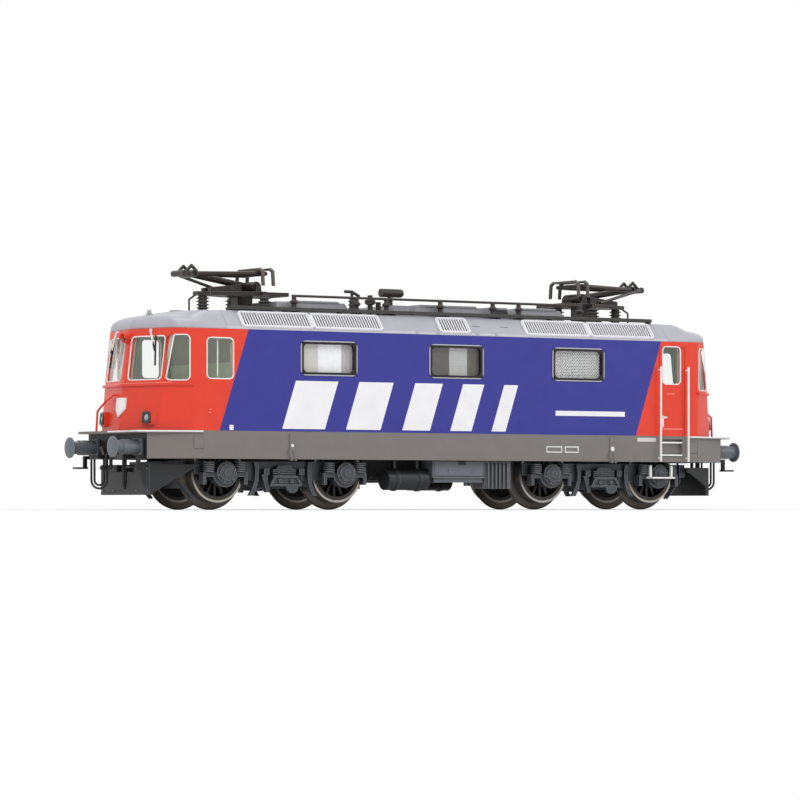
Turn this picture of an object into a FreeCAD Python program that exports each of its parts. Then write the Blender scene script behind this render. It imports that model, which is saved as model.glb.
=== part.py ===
# Four-axle electric locomotive, a small-scale railway model, in millimetres.
# +Z is up, +X is the right-hand end, -Y the near side, and z = 0 is the floor under the wheel flanges.
# The model looks the same after half a turn about Z, so most pieces are made for the right-hand end
# or the near side and then turned over to the other.
import FreeCAD, Part
import math
import os

os.makedirs("parts", exist_ok=True)
Vec = FreeCAD.Vector

# Wheels and axles
flange_depth = 0.9
tread_radius = 3.7
flange_width = 0.55
tread_width = 1.65
back_to_back = 7.4
rim_depth = 0.75
hub_radius = 1.15
hub_stand_out = 0.15
spoke_count = 16
spoke_width = 0.32
spoke_thickness = 0.9
axle_radius = 0.7
axle_play = 0.07
bogie_pitch = 49.38
wheelbase = 17.5

# Bogie frame
block_half_width = 3.2
block_end_overhang = 2.6
block_depth_below_axle = 1.9
block_top = 8.6
cross_beam_gap = 0.85
cross_beam_height = 1.7
side_plate_inner = 6.25
side_plate_thickness = 0.5
side_plate_drop = 0.55
side_top_gap = 0.3
end_beam_gap = 0.35
end_beam_thickness = 0.9
end_beam_height = 1.7
pivot_radius = 1.8
pivot_play = 0.08
pivot_depth = 1.6
axle_box_radius = 1.36
axle_box_stand_out = 1.45
axle_cap_radius = 1.02
axle_cap_height = 0.2
axle_nut_radius = 0.45
axle_nut_height = 0.14
spring_offset = 2.25
spring_radius = 0.78
spring_core_radius = 0.52
spring_turns = 4
spring_gap = 0.05
arm_height = 0.5
arm_stand_out = 1.15
arm_end = 3.15
saddle_rim = 0.42
arm_foot_width = 0.4
arm_foot_drop = 0.95
cradle_gap = 0.3
cradle_height = 1.25
cradle_stand_out = 1.2
cradle_lift = 2.05
cradle_edge = 0.2
cradle_recess = 0.22
cradle_boss_length = 0.42
leaf_thickness = 0.14
leaf_pitch = 0.24
leaf_count = 4
leaf_depth = 0.8
leaf_cap_height = 0.44
damper_radius = 0.85
damper_depth = 0.5
hanger_width = 0.75
hanger_height = 0.75
hanger_depth = 0.75
hanger_rod_radius = 0.13
hanger_rod_drop = 1.2
guard_lean = 0.7
guard_foot_width = 0.4
guard_drop = 2.2
brake_lever_inner = 4.7
brake_lever_width = 0.5
brake_lever_thickness = 0.5
brake_lever_top = 1.3
brake_lever_arc = 33.0
brake_pin_radius = 0.22
brake_pin_arc = 24.0
brake_shoe_depth = 1.1
brake_shoe_arc = 34.0
brake_shoe_gap = 0.2
sand_pipe_radius = 0.15
sand_pipe_y = 5.1
sand_pipe_gap = 0.55
sand_pipe_reach = 3.2
sand_pipe_lift = 0.55

# Snow plough on the bogie's outer end
plough_front = 43.2
plough_half_width = 6.15
plough_bottom = 0.95
plough_height = 3.75
plough_thickness = 0.5
plough_wing_length = 6.5
plough_short_wing_length = 4.2
plough_short_wing_depth = 2.96
plough_wing_flare = 1.05
plough_wing_thickness = 0.3
plough_notch_half_width = 2.2
plough_notch_height = 0.9
plough_arm_width = 1.2

# Underframe: the grey skirt and floor
half_width = 9.28
skirt_clearance = 5.4
skirt_height = 3.45
wall = 0.7
well_half_length = 15.6
floor_thickness = 0.9
skirt_side_end = 38.9
beam_front = 44.3
beam_half_width = 7.35
beam_depth = 1.4
platform_front = 45.7
platform_thickness = 0.3
platform_side_end = 37.5
platform_lip = 0.18
rib_width = 0.7
rib_stand_out = 0.15
rib_strip_width = 0.2
rib_strip_height = 1.3
rib_strip_lean = 0.4
rib_strip_pitch = 0.6
rib_strip_stand_out = 0.12
skirt_panel_x = 38.1
skirt_panel_length = 1.35
skirt_panel_height = 1.35
skirt_panel_drop = 0.55
skirt_panel_stand_out = 0.12
shunter_step_y = 6.76
shunter_step_bar = 0.42
shunter_step_x = 45.35
shunter_step_drop = 1.2
shunter_step_reach = 1.25
shunter_step_width = 1.0
shunter_step_plate = 0.22

# Housing: sides, cab fronts and their windows
side_height = 12.55
belt_height = 5.84
belt_nose = 43.6
front_angle = 12.5
lower_setback = 0.65
upper_setback = 0.95
corner_x = 42.05
corner_half_width = 7.4
edge_round = 0.6
nose_round = 2.4
belt_ledge = 0.3
belt_ledge_height = 0.32
window_sill = 7.0
machine_window_length = 8.35
machine_window_height = 4.35
machine_window_pitch = 19.24
window_corner = 0.75
window_frame_width = 0.42
window_frame_depth = 0.5
window_frame_lip = 0.1
pane_thickness = 0.3
pane_recess = 0.15
cab_window_start = 33.2
cab_window_end = 36.84
cab_window_sill = 6.45
cab_window_height = 4.9
cab_window_corner = 0.5
door_window_start = 33.11
door_window_end = 35.94
door_window_sill = 6.95
door_window_height = 4.85
door_start = 32.55
door_end = 36.7
door_groove = 0.14
door_bottom_gap = 0.1
door_top_gap = 0.75
screen_inner = 0.9
screen_outer = 6.75
screen_sill_gap = 0.45
screen_height = 5.3
screen_corner = 0.45
corner_window_margin = 0.42
corner_window_sill_gap = 0.36
corner_window_height = 5.45
shield_width = 2.3
shield_height = 2.4
shield_thickness = 0.2
shield_centre_height = 2.9
lamp_offset = 5.5
lamp_height = 1.55
lamp_half_size = 0.72
lamp_stand_out = 0.62
lamp_eye_radius = 0.45
fairing_margin = 0.16
fairing_stand_out = 0.48
fairing_end = 8.1
top_lamp_radius = 0.6
top_lamp_height = 11.35
top_lamp_stand_out = 0.5
hood_thickness = 0.16
hood_length = 0.85

# Roof
cab_roof_rise = 1.75
cab_roof_edge_rise = 0.35
roof_skin = 0.7
ramp_start = 36.8
ramp_end = 33.9
deck_rise = 2.35
deck_half_width = 7.5
deck_crown = 0.15
slope_foot_rise = 0.12
grille_thickness = 0.25
grille_frame = 0.3
grille_bar_pitch = 0.62
grille_bar_width = 0.3
grille_bar_depth = 0.17
grille_corner = 0.3
grille_outer_end = 31.8
grille_inner_end = 11.0
grille_split = 21.35
grille_middle_half_length = 2.4
walkway_half_length = 32.4
walkway_overhang = 0.25
walkway_width = 1.3
walkway_thickness = 0.42
walkway_lift = 0.2
walkway_foot = 0.35
walkway_foot_pitch = 8.1
hatch_half_width = 4.9
hatch_height = 1.5
hatch_slope = 1.1
hatch_spans = ((-24.6, -13.4), (-7.0, -3.9), (-3.7, 7.7), (12.0, 20.2))
low_plate_span = (7.9, 11.7)
low_plate_height = 0.35
line_radius = 0.16
line_y = 5.6
line_height = 2.2
line_half_length = 22.4
line_foot_radius = 0.72
line_neck_radius = 0.3
line_ring_radius = 0.52
line_post_places = (-22.1, -12.8, -8.3, 0.0, 8.2, 12.3, 22.1)
breaker_y = 2.8
breaker_drum_x = -11.7
breaker_drum_radius = 0.5
breaker_drum_height = 2.3
breaker_arm_radius = 0.2
breaker_arm_reach = 1.1
breaker_disc_x = -8.95
breaker_disc_radius = 0.7
breaker_disc_height = 2.15
breaker_post_x = -7.7
breaker_post_radius = 0.34
breaker_post_height = 1.95
breaker_box_length = 3.5
breaker_box_radius = 0.55
breaker_box_height = 3.15
aerial_width = 0.6
aerial_height = 0.9
aerial_x = 39.76

# Current collectors on the roof
hub_x = 25.3
hub_height = 3.45
knee_x = 34.0
knee_rise = 1.4
head_x = 24.45
head_rise = 1.6
knee_tail = 1.55
link_foot_x = 28.5
link_foot_rise = -0.5
arm_radius = 0.42
upper_arm_radius = 0.3
upper_arm_spread = 2.3
knee_lever_rise = 1.0
knee_lever_radius = 0.2
link_radius = 0.2
hub_radius_roof = 0.62
hub_half_width = 1.9
knee_boss_radius = 0.5
knee_half_width = 1.15
pin_play = 0.06
pin_radius = 0.26
head_half_width = 2.5
head_strip_gap = 1.5
head_strip_width = 0.4
head_strip_height = 0.3
head_horn_radius = 0.24
head_horn_reach = 0.75
head_horn_drop = 2.1
base_bar = 0.5
base_outer_x = 33.2
base_inner_x = 21.4
base_half_width = 3.0
base_height = 2.7
foot_radius = 0.55
foot_shed_radius = 0.82
foot_sheds = 4
foot_outer_x = 32.1
foot_inner_x = 25.5
foot_half_spread = 4.0
spring_box_length = 4.4
spring_box_width = 1.1
spring_case_start = 1.85
spring_case_length = 4.5
spring_case_height = 1.05
spring_case_end_height = 0.5
spring_case_width = 0.6
drive_block_length = 2.2
drive_block_width = 1.6
earth_wire_radius = 0.12
earth_wire_reach = 0.4
earth_wire_y = 0.8

# Cab fittings, grab rails and front fittings
rail_radius = 0.15
door_rail_clear = 0.55
door_rail_bottom = 0.05
door_rail_top = 9.2
door_rail_outer_x = 36.95
door_rail_inner_x = 32.35
step_width = 3.6
step_depth = 0.75
step_plate = 0.22
step_recess_depth = 0.55
step_lower_drop = 1.78
step_upper_drop = 0.1
hang_step_height = 1.75
hang_step_bar = 0.3
hang_step_length = 3.75
hang_step_inset = 2.04
front_rail_radius = 0.14
front_rail_stand_off = 0.55
front_rail_foot_off = 1.15
front_rail_y = 5.6
front_rail_bend_y = 4.2
front_rail_inner_y = 1.3
front_rail_rise = 4.45
front_rail_bend_rise = 3.8
front_rail_knee_rise = 2.45
wiper_radius = 0.12
wiper_stand_off = 0.3
buffer_face_x = 48.16
buffer_y = 5.47
buffer_height = 6.82
buffer_radius = 1.3
buffer_dish = 0.35
buffer_crown = 0.12
buffer_shank_radius = 0.8
buffer_barrel_radius = 0.93
buffer_barrel_length = 2.5
buffer_flange = 2.1
buffer_flange_thickness = 0.3
hook_shank = 0.75
hook_length = 1.6
hook_height = 6.3
link_wire = 0.22
link_drop = 2.0
link_width = 1.1
hose_radius = 0.14
hose_y = 3.2
hose_width = 2.1
hose_nest = 0.42
hose_drop = 3.9
hose_lean = 52.0
hose_valve_height = 0.52
hose_valve_depth = 1.55

# Underfloor equipment and the inside
tank_radius = 1.35
tank_start = -9.3
tank_length = 6.2
tank_y = 6.6
tank_centre_height = 2.45
tank_band_width = 0.35
tank_band_rise = 0.12
box_start = -2.95
box_end = 5.1
box_depth = 2.2
box_lower_end = 9.2
box_lower_depth = 3.6
box_width = 2.6
fin_pitch = 0.6
fin_thickness = 0.22
fin_depth = 0.35
ballast_half_length = 31.2
ballast_half_width = 7.4
ballast_gap = 0.35
cab_wall_thickness = 0.5
cab_floor_thickness = 0.5
cab_floor_clear = 0.15
desk_depth = 2.2
desk_height = 5.6
seat_size = 2.1
seat_height = 3.3
seat_back_height = 3.4
seat_thickness = 0.45
seat_x = 36.2
seat_y = 3.4
overrun = 1.0

# Levels and stations that follow from the sizes above
rail_top = flange_depth
axle_z = rail_top + tread_radius
skirt_bottom = rail_top + skirt_clearance
side_bottom = skirt_bottom + skirt_height
belt_z = side_bottom + belt_height
gutter_z = side_bottom + side_height
deck_z = gutter_z + deck_rise
cab_top_z = gutter_z + cab_roof_rise
bogie_x = bogie_pitch / 2
wheel_back = back_to_back / 2
flange_radius = tread_radius + flange_depth
wheel_face = wheel_back + flange_width + tread_width
reach = 2 * buffer_face_x
side_face = side_plate_inner + side_plate_thickness
spring_row_y = side_face + spring_gap + spring_radius
walkway_outer = deck_half_width + walkway_overhang
outer_axle_x = bogie_x + wheelbase / 2
cross_beam_half_length = wheelbase / 2 - flange_radius - cross_beam_gap
cradle_half_room = wheelbase / 2 - brake_lever_inner - brake_lever_width - cradle_gap
hanger_offset = cradle_half_room - guard_lean
cradle_bottom_half_length = (hanger_offset - hanger_rod_radius) * 0.975
cradle_top_half_length = cradle_bottom_half_length * 0.708
damper_offset = cradle_bottom_half_length * 0.403
leaf_half_length = (hanger_offset - hanger_width / 2) * 0.76
leaf_core_half_length = leaf_half_length * 0.55
leaf_cap_half_length = leaf_half_length * 0.7
wall_cut_share = 1.3
wall_cut = wall * wall_cut_share


def block(x0, x1, y0, y1, z0, z1):
    return Part.makeBox(x1 - x0, y1 - y0, z1 - z0, Vec(x0, y0, z0))


def rod(start, end, radius):
    line = end.sub(start)
    return Part.makeCylinder(radius, line.Length, start, line)


def polygon(points):
    return Part.Face(Part.makePolygon(points + points[:1]))


def side_prism(outline, y0, y1):
    """An (x, z) outline carried from y0 to y1."""
    return polygon([Vec(x, y0, z) for x, z in outline]).extrude(Vec(0, y1 - y0, 0))


def end_prism(outline, x0, x1):
    """A (y, z) outline carried from x0 to x1."""
    return polygon([Vec(x0, y, z) for y, z in outline]).extrude(Vec(x1 - x0, 0, 0))


def plan_prism(outline, z0, z1):
    """An (x, y) outline carried from z0 to z1."""
    return polygon([Vec(x, y, z0) for x, y in outline]).extrude(Vec(0, 0, z1 - z0))


def spun(outline, foot, axis):
    """A (radius, height) outline turned about an axis that starts at foot."""
    face = polygon([Vec(radius, 0, height) for radius, height in outline])
    solid = face.revolve(Vec(0, 0, 0), Vec(0, 0, 1), 360)
    solid.Placement = FreeCAD.Placement(foot, FreeCAD.Rotation(Vec(0, 0, 1), axis))
    return solid


def fused(solids):
    whole = solids[0].fuse(solids[1:]) if len(solids) > 1 else solids[0]
    return whole.removeSplitter()


def bent_rod(points, radius):
    """A round rod through several points, with a ball at each bend."""
    solids = [rod(start, end, radius) for start, end in zip(points, points[1:])]
    return fused(solids + [Part.makeSphere(radius, point) for point in points[1:-1]])


def turned(shape):
    """The same piece at the other end and on the other side."""
    copy = shape.copy()
    copy.rotate(Vec(0, 0, 0), Vec(0, 0, 1), 180)
    return copy


def across(shape):
    """The mirror image on the other side of the centre line."""
    return shape.mirror(Vec(0, 0, 0), Vec(0, 1, 0))


def four(shape):
    """One piece for each corner of the locomotive."""
    pair = [shape, across(shape)]
    return pair + [turned(solid) for solid in pair]


def trimmed(shape, point, normal):
    """The shape without what lies beyond the plane through point."""
    slab = Part.makeBox(2 * reach, 2 * reach, reach, Vec(-reach, -reach, 0))
    slab.Placement = FreeCAD.Placement(point, FreeCAD.Rotation(Vec(0, 0, 1), normal))
    return shape.cut(slab)


def save(node, solids):
    shape = Part.makeCompound(solids) if len(solids) > 1 else solids[0]
    shape.exportStep("parts/" + node + ".step")


# The form of the housing: flat sides and two cab fronts, each a shallow vee of raked planes
front_slope = math.tan(math.radians(front_angle))
lower_rake = lower_setback / belt_height
upper_rake = upper_setback / (side_height - belt_height)


def front_normal(rake, side):
    return Vec(1, side * front_slope, rake).normalize()


def corner_normal(side):
    along = corner_x - skirt_side_end
    inwards = half_width - corner_half_width
    return Vec(inwards, side * along, 0).normalize()


def softened(form, inset):
    """Rounds the upright edges of a cab end: the nose widely, the other four tightly."""
    for round_size, nose in ((nose_round - inset, True), (edge_round - inset, False)):
        if round_size > 0:
            edges = [edge for edge in form.Edges
                     if abs(edge.tangentAt(edge.FirstParameter).z) > 0.9
                     and edge.CenterOfMass.x > skirt_side_end - half_width / 2
                     and (abs(edge.CenterOfMass.y) < corner_half_width / 2) == nose]
            form = form.makeFillet(round_size, edges)
    return form


def body_form(inset, z0, z1):
    """The closed outer form between two levels, drawn in by inset."""
    halves = []
    for low, high, rake in ((z0, min(z1, belt_z), lower_rake), (max(z0, belt_z), z1, upper_rake)):
        if low < high:
            form = block(0, platform_front, -half_width + inset, half_width - inset, low, high)
            for side in (-1, 1):
                normal = front_normal(rake, side)
                form = trimmed(form, Vec(belt_nose, 0, belt_z).sub(normal * inset), normal)
                normal = corner_normal(side)
                form = trimmed(form, Vec(skirt_side_end, side * half_width, 0).sub(normal * inset), normal)
            halves.append(softened(form, inset))
    return fused(halves + [turned(form) for form in halves])


def front_x(y, z):
    """How far out the cab front lies at a height above the floor."""
    rake = upper_rake if z > belt_z else lower_rake
    return belt_nose - front_slope * abs(y) - rake * (z - belt_z)


def on_front(y, z, out=0.0):
    """A point on the right-hand cab front, stood off by out along its normal."""
    rake = upper_rake if z > belt_z else lower_rake
    side = 1 if y > 0 else -1
    return Vec(front_x(y, z), y, z).add(front_normal(rake, side) * out)


def rounded_plate(width, height, corner, depth):
    """A plate with round corners, centred, in the XY plane and reaching depth either way."""
    plate = Part.makeBox(width, height, 2 * depth, Vec(-width / 2, -height / 2, -depth))
    uprights = [edge for edge in plate.Edges if abs(edge.tangentAt(edge.FirstParameter).z) > 0.9]
    return plate.makeFillet(corner, uprights)


def stood(shape, centre, normal, up=Vec(0, 0, 1)):
    """A shape drawn in the XY plane, moved to centre so that its Z points along normal."""
    across_dir = up.cross(normal).normalize()
    up_dir = normal.cross(across_dir)
    moved = shape.copy()
    moved.Placement = FreeCAD.Placement(centre, FreeCAD.Rotation(across_dir, up_dir, normal))
    return moved


def machine_window(inset, depth):
    """The three window outlines of the near side, shrunk by inset."""
    sill = side_bottom + window_sill
    solids = []
    for place in (-machine_window_pitch, 0, machine_window_pitch):
        plate = rounded_plate(machine_window_length - 2 * inset, machine_window_height - 2 * inset,
                              window_corner - inset / 2, depth)
        solids.append(stood(plate, Vec(place, -half_width, sill + machine_window_height / 2), Vec(0, -1, 0)))
    return solids


def side_opening(x0, x1, sill, height, corner, depth):
    plate = rounded_plate(x1 - x0, height, corner, depth)
    return stood(plate, Vec((x0 + x1) / 2, -half_width, sill + height / 2), Vec(0, -1, 0))


def cab_openings(depth):
    """Window outlines of the right-hand cab: door, far side window, corners and windscreens."""
    door = side_opening(door_window_start, door_window_end, side_bottom + door_window_sill,
                        door_window_height, cab_window_corner, depth)
    window = across(side_opening(cab_window_start, cab_window_end, side_bottom + cab_window_sill,
                                 cab_window_height, cab_window_corner, depth))
    normal = corner_normal(-1)
    foot = Vec(skirt_side_end, -half_width, 0)
    top = Vec(corner_x, -corner_half_width, 0)
    panel = top.sub(foot)
    length = panel.Length - 2 * corner_window_margin
    centre = foot.add(panel * 0.5)
    centre.z = belt_z + corner_window_sill_gap + corner_window_height / 2
    corner = stood(rounded_plate(length, corner_window_height, cab_window_corner, depth), centre, normal)
    middle = (screen_inner + screen_outer) / 2
    slant = (screen_outer - screen_inner) / math.cos(math.radians(front_angle))
    screen_z = belt_z + screen_sill_gap + screen_height / 2
    screen = stood(rounded_plate(slant, screen_height, screen_corner, depth),
                   on_front(-middle, screen_z), front_normal(upper_rake, -1))
    return [door, window, corner, across(corner), screen, across(screen)]


def wheel_pair(x):
    """Two spoked wheels with flanges, on one axle line."""
    rim = [(tread_radius - rim_depth, 0), (flange_radius - flange_width / 4, 0),
           (flange_radius, flange_width / 3), (flange_radius - flange_width / 3, flange_width * 0.8),
           (tread_radius, flange_width), (tread_radius, flange_width + tread_width),
           (tread_radius - rim_depth, flange_width + tread_width)]
    hub = [(axle_radius, 0), (hub_radius, 0), (hub_radius, wheel_face - wheel_back + hub_stand_out),
           (axle_radius, wheel_face - wheel_back + hub_stand_out)]
    start = Vec(x, -wheel_back, axle_z)
    out = Vec(0, -1, 0)
    solids = [spun(rim, start, out), spun(hub, start, out)]
    spoke_back = (wheel_face - wheel_back - spoke_thickness) / 2
    joint = rim_depth / 4
    for index in range(spoke_count):
        spoke = block(x - spoke_width / 2, x + spoke_width / 2,
                      -wheel_back - spoke_back - spoke_thickness, -wheel_back - spoke_back,
                      axle_z + hub_radius - joint, axle_z + tread_radius - rim_depth + joint)
        spoke.rotate(Vec(x, 0, axle_z), Vec(0, 1, 0), 360 * index / spoke_count)
        solids.append(spoke)
    wheel = fused(solids)
    return [wheel, across(wheel)]


def axle(x):
    return rod(Vec(x, -wheel_face, axle_z), Vec(x, wheel_face, axle_z), axle_radius)


def bogie_frame():
    """The right-hand bogie: a centre block that holds the axles, a cross beam and two side frames."""
    inner_end = bogie_x - wheelbase / 2 - block_end_overhang
    outer_end = bogie_x + wheelbase / 2 + block_end_overhang
    side_top = skirt_bottom - side_top_gap
    side_low = axle_z - side_plate_drop
    solids = [block(inner_end, outer_end, -block_half_width, block_half_width,
                    axle_z - block_depth_below_axle, block_top)]
    beam_low = axle_z - cross_beam_height / 2
    solids.append(block(bogie_x - cross_beam_half_length, bogie_x + cross_beam_half_length,
                        -side_plate_inner - side_plate_thickness, side_plate_inner + side_plate_thickness,
                        beam_low, beam_low + cross_beam_height))
    beam_in = bogie_x + wheelbase / 2 + flange_radius + end_beam_gap
    beam_out = beam_in + end_beam_thickness
    solids.append(block(beam_in, beam_out, -wheel_face, wheel_face, side_top - end_beam_height, side_top))
    solids.append(block(outer_end - overrun, beam_in + overrun / 4, -block_half_width, block_half_width,
                        side_top - end_beam_height, side_top))
    tip = wheelbase / 2 + spring_offset + 2 * spring_radius
    inner_tip = bogie_x - tip
    outer_tip = bogie_x + tip
    for side in (-1, 1):
        near = side * side_plate_inner
        far = side * (side_plate_inner + side_plate_thickness)
        outline = [(inner_tip, side_top), (outer_tip, side_top), (outer_tip, side_low + arm_height),
                   (bogie_x + wheelbase / 2 + spring_offset, side_low),
                   (bogie_x + cradle_bottom_half_length, side_low - arm_height),
                   (bogie_x - cradle_bottom_half_length, side_low - arm_height),
                   (bogie_x - wheelbase / 2 - spring_offset, side_low), (inner_tip, side_low + arm_height)]
        solids.append(side_prism(outline, min(near, far), max(near, far)))
    whole = fused(solids)
    for station in (-1, 1):
        x = bogie_x + station * wheelbase / 2
        whole = whole.cut(rod(Vec(x, -half_width, axle_z), Vec(x, half_width, axle_z), axle_radius + axle_play))
    socket = rod(Vec(bogie_x, 0, block_top - pivot_depth), Vec(bogie_x, 0, block_top + overrun),
                 pivot_radius + pivot_play)
    return [whole.cut(socket)]


def axle_box(x):
    """A round box with its cap and nut, in a saddle between two spring arms with short legs."""
    face = -side_face
    cap_out = axle_box_stand_out + axle_cap_height
    nut_out = cap_out + axle_nut_height
    cover = [(0, 0), (axle_box_radius, 0), (axle_box_radius, axle_box_stand_out),
             (axle_cap_radius, axle_box_stand_out), (axle_cap_radius, cap_out), (axle_nut_radius, cap_out),
             (axle_nut_radius, nut_out), (0, nut_out)]
    box = spun(cover, Vec(x, face, axle_z), Vec(0, -1, 0))
    front = face - arm_stand_out
    low = axle_z - arm_height
    arm = block(x - arm_end, x + arm_end, front, face, low, axle_z)
    saddle = rod(Vec(x, front, axle_z), Vec(x, face, axle_z), axle_box_radius + saddle_rim)
    saddle = saddle.common(block(x - arm_end, x + arm_end, front, face, rail_top, axle_z))
    legs = [block(foot, foot + arm_foot_width, front, face, low - arm_foot_drop, axle_z)
            for foot in (x - arm_end, x + arm_end - arm_foot_width)]
    return fused([box, arm, saddle] + legs)


def cradle(hand):
    """The spring cradle with its flat springs and half-round damper, and a hanger on each side of it."""
    face = -side_face
    front = face - cradle_stand_out
    low = rail_top + cradle_lift
    top = low + cradle_height
    pan = side_prism([(bogie_x - cradle_bottom_half_length, low), (bogie_x + cradle_bottom_half_length, low),
                      (bogie_x + cradle_top_half_length, top), (bogie_x - cradle_top_half_length, top)],
                     front, face)
    in_low = cradle_bottom_half_length - 2 * cradle_edge
    in_top = cradle_top_half_length - cradle_edge
    pan = pan.cut(side_prism([(bogie_x - in_low, low + cradle_edge), (bogie_x + in_low, low + cradle_edge),
                              (bogie_x + in_top, top - cradle_edge), (bogie_x - in_top, top - cradle_edge)],
                             front, front + cradle_recess))
    solids = [pan]
    middle = (low + top) / 2
    for place in (bogie_x - cradle_top_half_length / 2, bogie_x + cradle_top_half_length / 2):
        solids.append(block(place - cradle_boss_length / 2, place + cradle_boss_length / 2, front,
                            front + cradle_recess, middle - cradle_boss_length / 2,
                            middle + cradle_boss_length / 2))
    damper_x = bogie_x + hand * damper_offset
    solids.append(rod(Vec(damper_x, front, low), Vec(damper_x, front + damper_depth, low), damper_radius)
                  .common(block(damper_x - damper_radius, damper_x + damper_radius, front, face,
                                low - damper_radius, low)))
    leaf_front = face - leaf_depth
    for index in range(leaf_count):
        z = top + index * leaf_pitch
        solids.append(block(bogie_x - leaf_half_length, bogie_x + leaf_half_length, leaf_front, face, z,
                            z + leaf_thickness))
    leaf_top = top + (leaf_count - 1) * leaf_pitch + leaf_thickness
    solids.append(block(bogie_x - leaf_core_half_length, bogie_x + leaf_core_half_length,
                        leaf_front + leaf_thickness, face, top, leaf_top))
    solids.append(side_prism([(bogie_x - leaf_cap_half_length, leaf_top),
                              (bogie_x + leaf_cap_half_length, leaf_top),
                              (bogie_x + leaf_core_half_length, leaf_top + leaf_cap_height),
                              (bogie_x - leaf_core_half_length, leaf_top + leaf_cap_height)],
                             leaf_front, face))
    hanger_low = axle_z - leaf_cap_height / 2
    hanger_front = face - hanger_depth
    hangers = []
    for side in (-1, 1):
        x = bogie_x + side * hanger_offset
        hangers.append(block(x - hanger_width / 2, x + hanger_width / 2, hanger_front, face, hanger_low,
                             hanger_low + hanger_height))
    x = bogie_x + hand * hanger_offset
    rod_y = hanger_front + 2 * hanger_rod_radius
    hangers[(1 + hand) // 2] = fused([hangers[(1 + hand) // 2],
                                      rod(Vec(x, rod_y, hanger_low + hanger_height / 2),
                                          Vec(x, rod_y, hanger_low - hanger_rod_drop), hanger_rod_radius)])
    start = bogie_x - hand * (hanger_offset + guard_lean)
    foot = bogie_x - hand * hanger_offset
    leg = side_prism([(start, hanger_low), (start + hand * hanger_width, hanger_low),
                      (foot + hand * guard_foot_width, hanger_low - guard_drop),
                      (foot, hanger_low - guard_drop)], hanger_front, face)
    solids += [leg, hangers[(1 - hand) // 2]]
    return [fused(solids), hangers[(1 + hand) // 2]]


def axle_boxes():
    """Everything cast in front of the two side frames: four axle boxes and two cradles."""
    boxes = [axle_box(bogie_x + station * wheelbase / 2) for station in (-1, 1)]
    solids = boxes + [across(box) for box in boxes]
    return solids + cradle(1) + [across(solid) for solid in cradle(-1)]


def coil_spring(x, foot, height, radius, core, turns):
    """A spring drawn as stacked turns round a core."""
    pitch = height / turns
    outline = [(0, 0)]
    for turn in range(turns):
        outline += [(core, turn * pitch), (radius, (turn + 0.5) * pitch)]
    outline += [(core, height), (0, height)]
    return spun(outline, Vec(x, -spring_row_y, foot), Vec(0, 0, 1))


def bogie_springs():
    solids = []
    side_top = skirt_bottom - side_top_gap
    for station in (-1, 1):
        for side in (-1, 1):
            x = bogie_x + station * wheelbase / 2 + side * spring_offset
            solids.append(coil_spring(x, axle_z, side_top - axle_z, spring_radius, spring_core_radius,
                                      spring_turns))
    return solids + [across(solid) for solid in solids]


def brake_gear():
    """A shoe at each wheel's inner side, tied by a pin to a curved lever outside the side frame."""
    solids = []
    shoe_y = wheel_face - tread_width / 2
    inner = tread_radius + brake_shoe_gap
    for station in (-1, 1):
        wheel_x = bogie_x + station * wheelbase / 2
        edge = wheel_x - station * flange_radius * 2
        near, far = min(edge, wheel_x), max(edge, wheel_x)
        ring = spun([(inner, -tread_width / 3), (inner + brake_shoe_depth, -tread_width / 3),
                     (inner + brake_shoe_depth, tread_width / 3), (inner, tread_width / 3)],
                    Vec(wheel_x, -shoe_y, axle_z), Vec(0, -1, 0))
        shoe_low = axle_z - inner * math.sin(math.radians(brake_shoe_arc))
        shoe = ring.common(block(near, far, -half_width, 0, shoe_low, axle_z - cross_beam_height / 2))
        outer = brake_lever_inner + brake_lever_width
        hoop = spun([(brake_lever_inner, 0), (outer, 0), (outer, brake_lever_thickness),
                     (brake_lever_inner, brake_lever_thickness)], Vec(wheel_x, -side_face, axle_z),
                    Vec(0, -1, 0))
        lever_low = axle_z - outer * math.sin(math.radians(brake_lever_arc))
        lever = hoop.common(block(near, far, -half_width, 0, lever_low, axle_z + brake_lever_top))
        pin_reach = brake_lever_inner + brake_lever_width / 2
        turn = math.radians(brake_pin_arc)
        pin_x = wheel_x - station * pin_reach * math.cos(turn)
        pin_z = axle_z - pin_reach * math.sin(turn)
        pin = rod(Vec(pin_x, -shoe_y, pin_z), Vec(pin_x, -side_face - brake_lever_thickness, pin_z),
                  brake_pin_radius)
        solids.append(fused([shoe, lever, pin]))
    beam_low = skirt_bottom - side_top_gap - end_beam_height
    pipe_x = outer_axle_x + flange_radius + end_beam_gap + end_beam_thickness / 2
    for y in (sand_pipe_y - sand_pipe_gap / 2, sand_pipe_y + sand_pipe_gap / 2):
        solids.append(bent_rod([Vec(pipe_x, -y, beam_low), Vec(pipe_x, -y, beam_low - sand_pipe_gap),
                                Vec(outer_axle_x + sand_pipe_reach, -y, rail_top + sand_pipe_lift)],
                               sand_pipe_radius))
    return solids + [across(solid) for solid in solids]


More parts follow.
